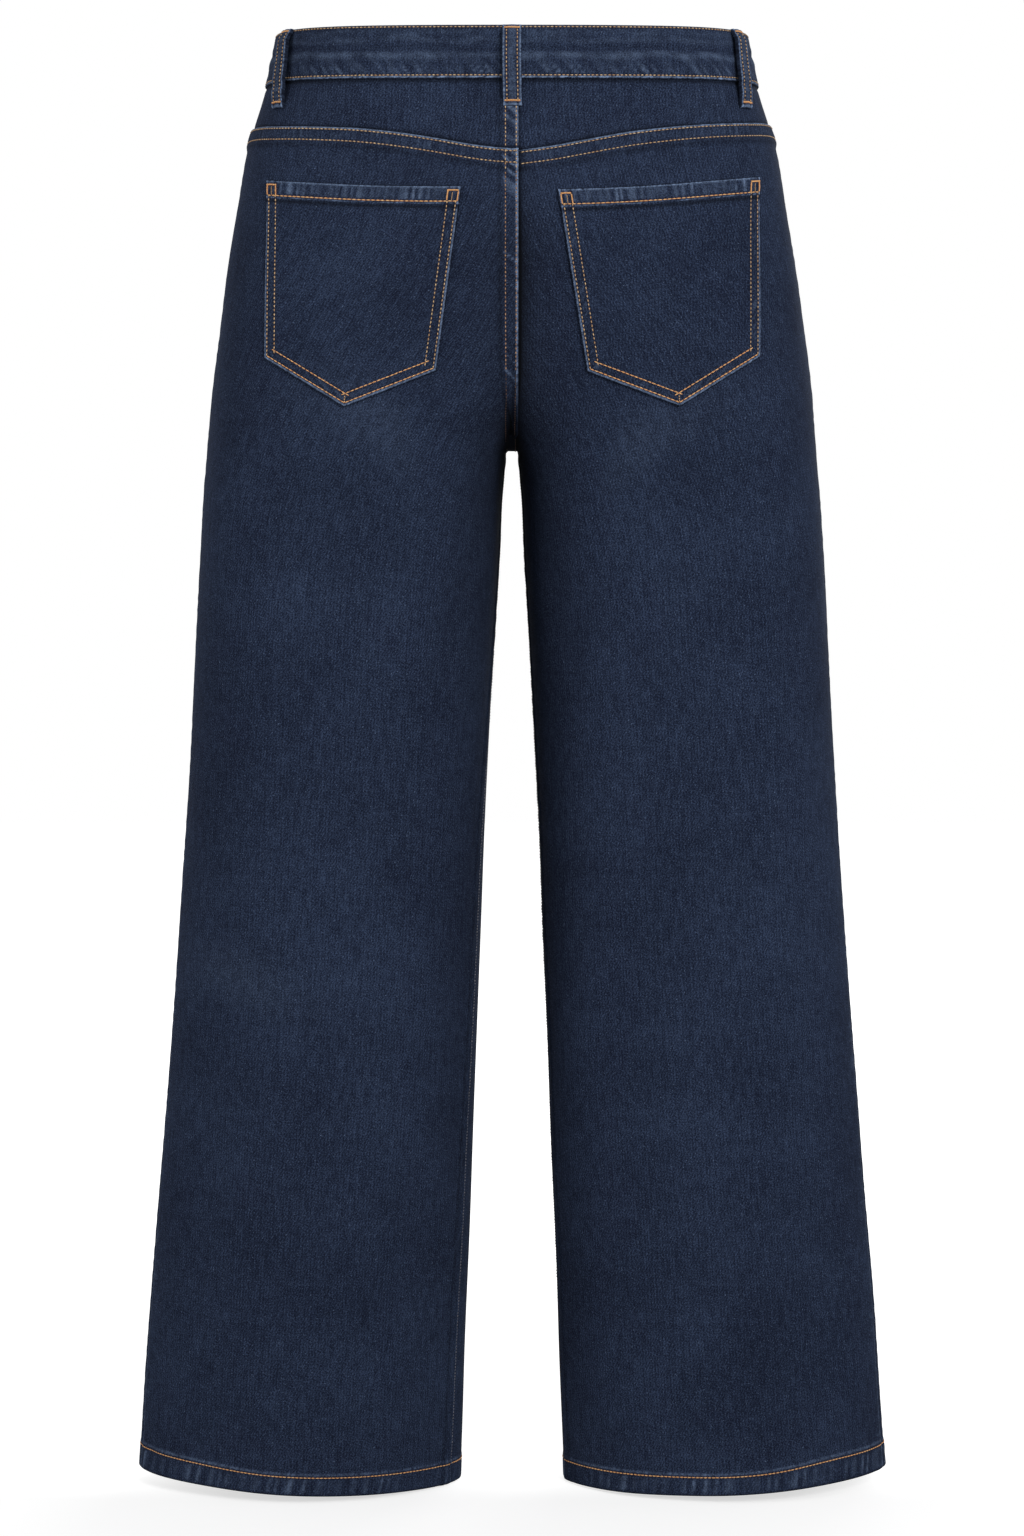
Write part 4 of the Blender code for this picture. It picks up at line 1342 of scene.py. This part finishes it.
def make_yoke(side, stitches):
    shares = graded("yoke_across")
    top = BAND_BOTTOM - band_dip(back_angles(side, BAND_BOTTOM, shares)) - SEAM_GAP + 2
    low = yoke_seam(side, level_x(YOKE_SIDE, back_angles(side, YOKE_SIDE, shares))) - 4
    heights = top + (low - top) * graded("yoke_down")[:, None]
    cloth = ring_cloth(side, heights, back_angles(side, heights, shares))
    crease_cloth(cloth)
    inner_gap, top_gap, low_gap = cloth.from_inner, cloth.from_top, cloth.from_bottom
    tuck = 1 - above(low_gap, 4, 4)
    cloth.lift -= 0.5 * tuck
    # Painted shadows under the back panel's lapped edge and under the waistband
    cloth.line(low_gap, at=4.6, width=1.5, wear=-0.8)
    cloth.line(top_gap, at=2.6, width=1.8, wear=-0.7)
    cloth.terrace(top_gap, 2, 4, lift=-0.5)
    if side == -1:
        lap_edge(cloth, inner_gap, top_gap, CENTRE_ROWS[1] + 2, LAP, 82, 1.6, 1 - tuck)
        window = between(inner_gap, 1.0, 11.0, 2.5)
        pucker(cloth, top_gap + 0.8 * inner_gap, window, "centre_yoke", 57)
        for row in CENTRE_ROWS:
            stitches.row(cloth.path(down_line(inner_gap, row), (low_gap, 4.4, FAR)), fill=0.8)
    else:
        cloth.terrace(inner_gap, 3, 5, lift=-0.6)
        # Painted shadow of the left yoke's lapped edge
        cloth.line(inner_gap, at=4.2, width=2.0, wear=-0.6)
    cloth.lift += rounded(cloth.from_outer, 0.8)
    finish_cloth("yoke_" + SIDE_NAMES[side], "yoke", "hung", ["waistband"], cloth, CLOTH, stitches)


def grown(corners, by):
    """An outline's corners after its edges move out. They run clockwise, with x to the right."""
    lines = unit(np.roll(corners, -1, axis=0) - corners)
    normals = np.stack([-lines[:, 1], lines[:, 0]], axis=1)
    before = np.roll(normals, 1, axis=0)
    return corners + by * (normals + before) / (1 + (normals * before).sum(axis=1))[:, None]


def pocket_cloth(side):
    """A pocket, and how far its points are from its top, inner, outer and two lower edges."""
    top_inner, top_outer, low_outer, tip, low_inner = grown(np.array(POCKETS[side]), POCKET_EDGE)
    across = graded("pocket_across")
    middle = len(across) // 2
    if len(across) % 2 == 0:
        across = np.insert(across, middle, 0.5)
    down = graded("pocket_down")[:, None, None]
    upper = top_inner + (top_outer - top_inner) * across[:, None]
    upper[:, 1] -= POCKET_SAG * np.sin(np.pi * across)
    first, second = np.clip((2 * across, 2 * across - 1), 0, 1)[..., None]
    lower = low_inner + (tip - low_inner) * first + (low_outer - tip) * second
    cloth = plan_cloth(side, upper + (lower - upper) * down, POCKET_STAND)
    base = cloth.base
    edges = (base[0], base[:, 0], base[:, -1], base[-1, : middle + 1], base[-1, middle:])
    return cloth, [distance_to(base, edge) for edge in edges]


def make_pocket(side, stitches):
    """A patch pocket: a hem at its top, its other edges turned in and sewn down twice."""
    cloth, (top, inner, outer, low_inner, low_outer) = pocket_cloth(side)
    crease_cloth(cloth)
    sides, low = np.minimum(inner, outer), np.minimum(low_inner, low_outer)
    rim = np.minimum(sides, low)
    around = cloth.from_top + cloth.from_inner
    cloth.terrace(rim, 9, 3, lift=0.7)
    cloth.lift += rounded(np.minimum(rim, top), 0.9)
    cloth.terrace(top, 11.5, 2.5, lift=0.6)
    wave = uneven_wave(around, 6.4, 84 + side) * between(rim, 1.5, 8.0, 2)
    cloth.lift += 0.22 * wave
    # The rim's ridges rub pale; its troughs get painted shade
    cloth.wear += 0.14 * wave
    in_hem = between(top, 1, 10, 3)
    pucker(cloth, cloth.from_inner, in_hem, "pocket_hem", 86 + side)
    cloth.wear += 0.04 * in_hem
    fray = frayed(around, 3.7, 88 + side)
    cloth.line(rim, at=1.25, width=0.6, wear=1.25, share=fray)
    cloth.line(top, at=1.0, width=0.6, wear=1.0, share=fray)
    # Painted shadow: a thin dark outline round the pocket's edges
    cloth.line(np.minimum(rim, top), at=0.0, width=0.45, wear=-1.2)
    cloth.line(top, at=12.3, width=0.5, wear=0.9, share=fray)
    # Painted shadow under the pocket's hem
    cloth.line(top, at=14.6, width=1.6, wear=-0.75)
    for row in POCKET_ROWS:
        press_row(cloth, rim, row)
    press_row(cloth, top, POCKET_HEM)

    long = {"thread": "bright", "pitch": 3.3, "fill": 0.99}
    for row in POCKET_ROWS:
        for edge in (inner, outer):
            path = cloth.path(down_line(edge, row), (low, 0.7 * row, FAR), (top, 9.4, FAR))
            stitches.row(path, fill=0.84)
        for edge, other in ((low_inner, low_outer), (low_outer, low_inner)):
            limits = (edge, 0.9 * row, 1.1 * row), (np.minimum(sides, other), 0.7 * row, FAR)
            stitches.row(cloth.path(across_line(edge, row), *limits), **long)
    stitches.row(cloth.path(across_line(top, POCKET_HEM), (sides, 1.6, FAR)), **long)
    for edge in (inner, outer):
        stitches.tack(cloth.path(across_line(top, 3.4), (edge, 1.1, 9.6)), 1.3)
        for row in (1.7, 8.9):
            stitches.tack(cloth.path(down_line(edge, row), (top, 3.4, POCKET_HEM)), 1.1)
        stitches.tack(cloth.path(down_line(edge, 5.6), (top, 4.4, POCKET_HEM)), 0.7, "thread")
    tip = cloth.path(down_line(low_inner - low_outer, 0.0), (low, 2.0, 7.4))
    stitches.row(tip, pitch=1.6, fill=1.0)
    name, rests_on = "back_pocket_" + SIDE_NAMES[side], ["back_panel_" + SIDE_NAMES[side]]
    finish_cloth(name, "back_pocket", "laid", rests_on, cloth, CLOTH, stitches)


def make_waistband(stitches):
    """One band round the waist. Its right end steps in and lies under its left end at the front."""
    under, over = angle_at(0.0, False, np.array([-BAND_UNDER_END, BAND_OVER_END]))
    angles = np.linspace(-np.pi - under, 2 * np.pi + over, 540)[None, :]
    share = graded("band_down")[:, None]
    heights = (BAND_TOP - band_dip(angles)) + (BAND_BOTTOM - BAND_TOP) * share
    past_lap = below(level_x(0.0, angles), BAND_OVER_END + 14, 10)
    sink = np.where(angles < 0, past_lap, 0.0) * (BAND_WALL + SEAM_GAP)
    heights, angles = np.broadcast_arrays(heights, angles)
    outward = ring_outward(heights, angles)
    base = plain_ring(heights, angles) + outward * (BAND_PROUD - sink + 0 * angles)[..., None]
    cloth = Cloth(1, heights, angles, base, outward)
    cloth.u = -cloth.u
    top_gap, low_gap, along = cloth.from_top, cloth.from_bottom, cloth.from_inner
    cloth.lift += rounded(top_gap, 1.3) + rounded(low_gap, 0.8)
    cloth.lift += rounded(np.minimum(along, cloth.from_outer), 1.0)
    for roll in BAND_ROLLS:
        drift = roll.depth + 1.8 * uneven_wave(along, roll.wave, roll.seed)
        share = frayed(along, 0.7 * roll.wave, roll.seed + 20)
        cloth.line(top_gap, drift, roll.width, lift=roll.height, share=share)
        # A roll that sinks in is darkened as painted shade; raised rolls rub pale
        cloth.line(top_gap, drift, 0.9 * roll.width, wear=0.32 * roll.height, share=share)
    pucker(cloth, along + 0.1 * low_gap, between(low_gap, 2, 10, 7), "band_low", 91)
    pucker(cloth, along - 0.15 * low_gap, above(top_gap, 17, 6), "band", 92)
    pucker(cloth, along, between(top_gap, 0.5, 6, 4), "band_top", 93)
    fray = frayed(along, 3.9, 94, least=0.45)
    cloth.line(low_gap, at=1.2, width=0.6, wear=1.8, share=fray)
    # Painted shade along the band's bottom edge, where it turns under
    cloth.line(low_gap, at=0.0, width=0.5, wear=-0.8)
    cloth.line(top_gap, at=0.5, width=0.6, wear=0.5, share=fray)
    for field, row in ((top_gap, BAND_ROW_TOP), (low_gap, BAND_ROW_LOW)):
        press_row(cloth, field, row)
        stitches.row(cloth.path(across_line(field, row)), fill=0.93)
    end = down_line(cloth.from_outer, 2.0)
    stitches.row(cloth.path(end, (np.minimum(top_gap, low_gap), 2.4, FAR)), fill=0.9)
    points, out = cloth.path(across_line(top_gap, BUTTONHOLE), (cloth.from_outer, *BUTTONHOLE_ENDS))
    for lip in (-0.9, 0.9):
        stitches.tack((points + (0.0, 0.0, lip), out), 2.0, "thread")
    rests_on = ["yoke_right", "yoke_left"]
    finish_cloth("waistband", "waistband", "folded", rests_on, cloth, BAND_WALL, stitches)


def make_belt_loop(place, stitches):
    """A strap sewn down at the band's top edge and on the cloth below, standing off between."""
    share = graded("loop_down")[:, None]
    middle = np.radians(place.top_angle + (place.tail_angle - place.top_angle) * share)
    dip = band_dip(middle)
    top, tail = BAND_TOP + LOOP_TOP - dip, BAND_BOTTOM - LOOP_TAIL - dip
    heights = top + (tail - top) * share
    on_band = BAND_PROUD * smooth_step((heights - BAND_BOTTOM + dip) / 6 + 1.0)
    off = LOOP_STAND * smooth_step(share / 0.16) * smooth_step((1 - share) / 0.2)
    stand = SEAM_GAP + on_band + off + LOOP_WALL
    level, angle = heights[:, 0], middle[:, 0]
    base, outward = plain_ring(level, angle), ring_outward(level, angle)
    across = unit((plain_ring(level, angle + 1e-3) - base) * (1.0, 1.0, 0.0))
    sides = (graded("loop_across") - 0.5) * LOOP_WIDTH
    points = base[:, None] + across[:, None] * sides[:, None] + outward[:, None] * stand[..., None]
    mirror = np.array([place.side, 1.0, 1.0])
    wide = np.ones((1, len(sides)))
    outward = np.broadcast_to(outward[:, None], points.shape)
    cloth = Cloth(place.side, heights * wide, middle * wide, points * mirror, outward * mirror)
    cloth.u = sides * wide * place.side + 0 * cloth.u
    edge = np.minimum(cloth.from_inner, cloth.from_outer)
    ends = np.minimum(cloth.from_top, cloth.from_bottom)
    cloth.lift += rounded(edge, 1.0) + rounded(ends, 0.7) + 0.5 * ridge(sides, 0.0, 2.6)
    seed = int(place.top_angle) + 100 + 20 * place.side
    fray = frayed(cloth.from_top, 3.4, seed, least=0.55)
    cloth.line(edge, at=0.8, width=0.55, wear=1.1, share=fray)
    cloth.line(ends, at=0.4, width=0.7, wear=0.9, share=fray)
    # Painted shade along the loop's turned side edges
    cloth.line(edge, at=0.0, width=0.4, wear=-0.8)
    cloth.wear += 0.12
    pucker(cloth, cloth.from_top, between(edge, 0.5, 7, 2), "loop", seed + 1)
    for row in LOOP_ROWS:
        press_row(cloth, cloth.from_inner, row)
        stitches.row(cloth.path(down_line(cloth.from_inner, row), (ends, 3.2, FAR)), fill=0.8)
    for at_end, field in ((2.2, cloth.from_top), (3.4, cloth.from_bottom)):
        stitches.tack(cloth.path(across_line(field, at_end), (edge, 1.2, FAR)), 1.5)
    rests_on, wall = ["waistband"], LOOP_WALL - 0.4
    finish_cloth(place.name, "belt_loop", "laid", rests_on, cloth, wall, stitches, inner_step=2)


# Half the button's outline, from its seat to its middle, as shares of its radius and height
BUTTON_OUTLINE = table(
    "radius height",
    *((0.88, 0.0), (0.97, 0.1), (1.0, 0.26), (1.0, 0.52), (0.975, 0.68), (0.93, 0.78), (0.89, 0.8)),
    *((0.85, 0.76), (0.80, 0.73), (0.75, 0.75), (0.6, 0.86), (0.4, 0.94), (0.2, 0.985)),
)
BUTTON_TURNS = 72


def make_button():
    """A domed shank button on the waistband's lapped end, turned round its own axis."""
    low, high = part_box("shank_button")
    rim = (high.x - low.x) / 2 / MM
    height, angle = np.array([(BAND_TOP + BAND_BOTTOM) / 2 - FRONT_DIP]), np.array([-np.pi / 2])
    outward = ring_outward(height, angle)[0]
    seat = plain_ring(height, angle)[0] + outward * (BAND_PROUD + SEAM_GAP)
    turn = 2 * np.pi * np.arange(BUTTON_TURNS)[:, None] / BUTTON_TURNS
    side_axis = np.array([1.0, 0.0, 0.0])
    ring = np.cos(turn) * side_axis + np.sin(turn) * np.cross(outward, side_axis)
    rings = []
    for at in BUTTON_OUTLINE:
        rings.append(seat + rim * at.radius * ring + BUTTON_RISE * at.height * outward)
    points = np.concatenate([seat[None], *rings, (seat + BUTTON_RISE * outward)[None]])
    ids = closed(1 + np.arange(len(points) - 2).reshape(-1, BUTTON_TURNS))
    first, last = ids[0].tolist(), ids[-1].tolist()
    faces = [[0, b, a] for a, b in zip(first, first[1:])] + grid_faces(ids, False)
    faces += [[a, b, len(points) - 1] for a, b in zip(last, last[1:])]
    piece = new_piece("shank_button_metal", points, faces, ["brass"])
    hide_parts("shank_button")


# ---------------------------------------------------------------- camera, light and floor

# In metres and watts
CAMERA_PLACE = (0.0, -3.1, -0.2964)
CAMERA_TILT = np.arctan(0.20736 / 3.1)
HALF_VIEW = np.radians(10.12)
LIGHTS = table(
    "name place target size power",
    ("key", (1.6, -2.7, 0.9), (0.0, 0.0, -0.5), (1.6, 1.6), 68.0),
    ("rear", (0.9, 2.9, 0.3), (0.0, 0.0, -0.5), (1.6, 1.6), 20.0),
    ("fill", (-2.8, -1.3, -0.1), (0.0, 0.0, -0.55), (1.4, 2.0), 26.0),
)
WORLD_LIGHT = 0.35
FLOOR_REACH = 6.0
FLOOR_DROP = 0.6 * MM
FLOOR_COLOUR = (0.56, 0.56, 0.56, 1.0)
# Painted shadow: the floor's camera glow is dimmest under the hems
FLOOR_GLOW_IN_PAINTED_SHADOW = 0.61  # under the hems, as the camera sees it; away from them it is white
WHITE = (1.0, 1.0, 1.0, 1.0)


def add_object(name, data):
    made = bpy.data.objects.new(name, data)
    bpy.context.scene.collection.objects.link(made)
    return made


def make_camera():
    data = bpy.data.cameras.new("camera")
    data.sensor_fit = "AUTO"
    data.sensor_width = 36.0
    data.lens = data.sensor_width / 2 / np.tan(HALF_VIEW)
    camera = add_object("camera", data)
    camera.location = CAMERA_PLACE
    camera.rotation_euler = (np.pi / 2 - CAMERA_TILT, 0.0, 0.0)
    bpy.context.scene.camera = camera


def make_lights():
    for light in LIGHTS:
        data = bpy.data.lights.new(light.name, "AREA")
        data.shape = "RECTANGLE"
        data.size, data.size_y = light.size
        data.energy = light.power
        lamp = add_object(light.name, data)
        lamp.location = light.place
        toward = Vector(light.target) - Vector(light.place)
        lamp.rotation_euler = toward.to_track_quat("-Z", "Y").to_euler()


def make_world():
    """A white world. The camera and glossy rays see it brighter than it lights the jeans."""
    world = bpy.data.worlds.new("studio")
    world.use_nodes = True
    tree = world.node_tree
    rays = tree.nodes.new("ShaderNodeLightPath")
    seen = tree.nodes.new("ShaderNodeMath")
    seen.operation = "MAXIMUM"
    tree.links.new(rays.outputs["Is Camera Ray"], seen.inputs[0])
    tree.links.new(rays.outputs["Is Glossy Ray"], seen.inputs[1])
    strength = tree.nodes.new("ShaderNodeMapRange")
    strength.inputs["To Min"].default_value = WORLD_LIGHT
    strength.inputs["To Max"].default_value = 1.0
    tree.links.new(seen.outputs[0], strength.inputs["Value"])
    background = tree.nodes["Background"]
    background.inputs["Color"].default_value = WHITE
    tree.links.new(strength.outputs[0], background.inputs["Strength"])
    bpy.context.scene.world = world
    bpy.context.scene.view_settings.view_transform = "Standard"


def make_floor():
    """Pale paper under the jeans. Its glow for camera rays is painted: dimmer near the hems as a
    painted shadow, brighter behind them as painted light. The camera sees it go white away from the
    hems.
    """
    n = Nodes("floor_paper")
    n.set(n.shader, {"Base Color": FLOOR_COLOUR, "Roughness": 1.0, "Specular IOR Level": 0.0})
    away = n.add("VectorMath", {"operation": "LENGTH"}, {0: n.add("TexCoord").outputs["Object"]})
    behind = n.add("SeparateXYZ", None, {0: n.add("TexCoord").outputs["Object"]}).outputs[1]
    far = n.ramp(away.outputs["Value"], 0.27, 1.0)
    # Painted light: the glow rises behind the hems and far from them
    painted_light_share = n.math("MAXIMUM", far, n.math("MULTIPLY", n.ramp(behind, -0.08, 0.05), 0.9))
    glow = n.math("MULTIPLY_ADD", painted_light_share, 1.0 - FLOOR_GLOW_IN_PAINTED_SHADOW, FLOOR_GLOW_IN_PAINTED_SHADOW)
    n.set(n.shader, {"Emission Color": WHITE})
    n.set(n.shader, {"Emission Strength": n.math("MULTIPLY", n.add("LightPath").outputs[0], glow)})
    mesh = bpy.data.meshes.new("floor")
    square = np.array([(-1, -1, 0), (1, -1, 0), (1, 1, 0), (-1, 1, 0)]) * FLOOR_REACH
    mesh.from_pydata(square.tolist(), [], [(0, 1, 2, 3)])
    mesh.materials.append(n.material)
    floor = add_object("floor", mesh)
    floor.location.z = cad_low.z - FLOOR_DROP


def main():
    for index, side in enumerate(SIDE_NAMES):
        make_back(side, Stitches(200 + index))
        make_front(side, Stitches(210 + index))
        make_facing(side)
        make_yoke(side, Stitches(220 + index))
        make_pocket(side, Stitches(230 + index))
    make_waistband(Stitches(240))
    for index, place in enumerate(LOOPS):
        make_belt_loop(place, Stitches(250 + index))
    make_button()
    make_camera()
    make_world()
    make_lights()
    make_floor()


main()
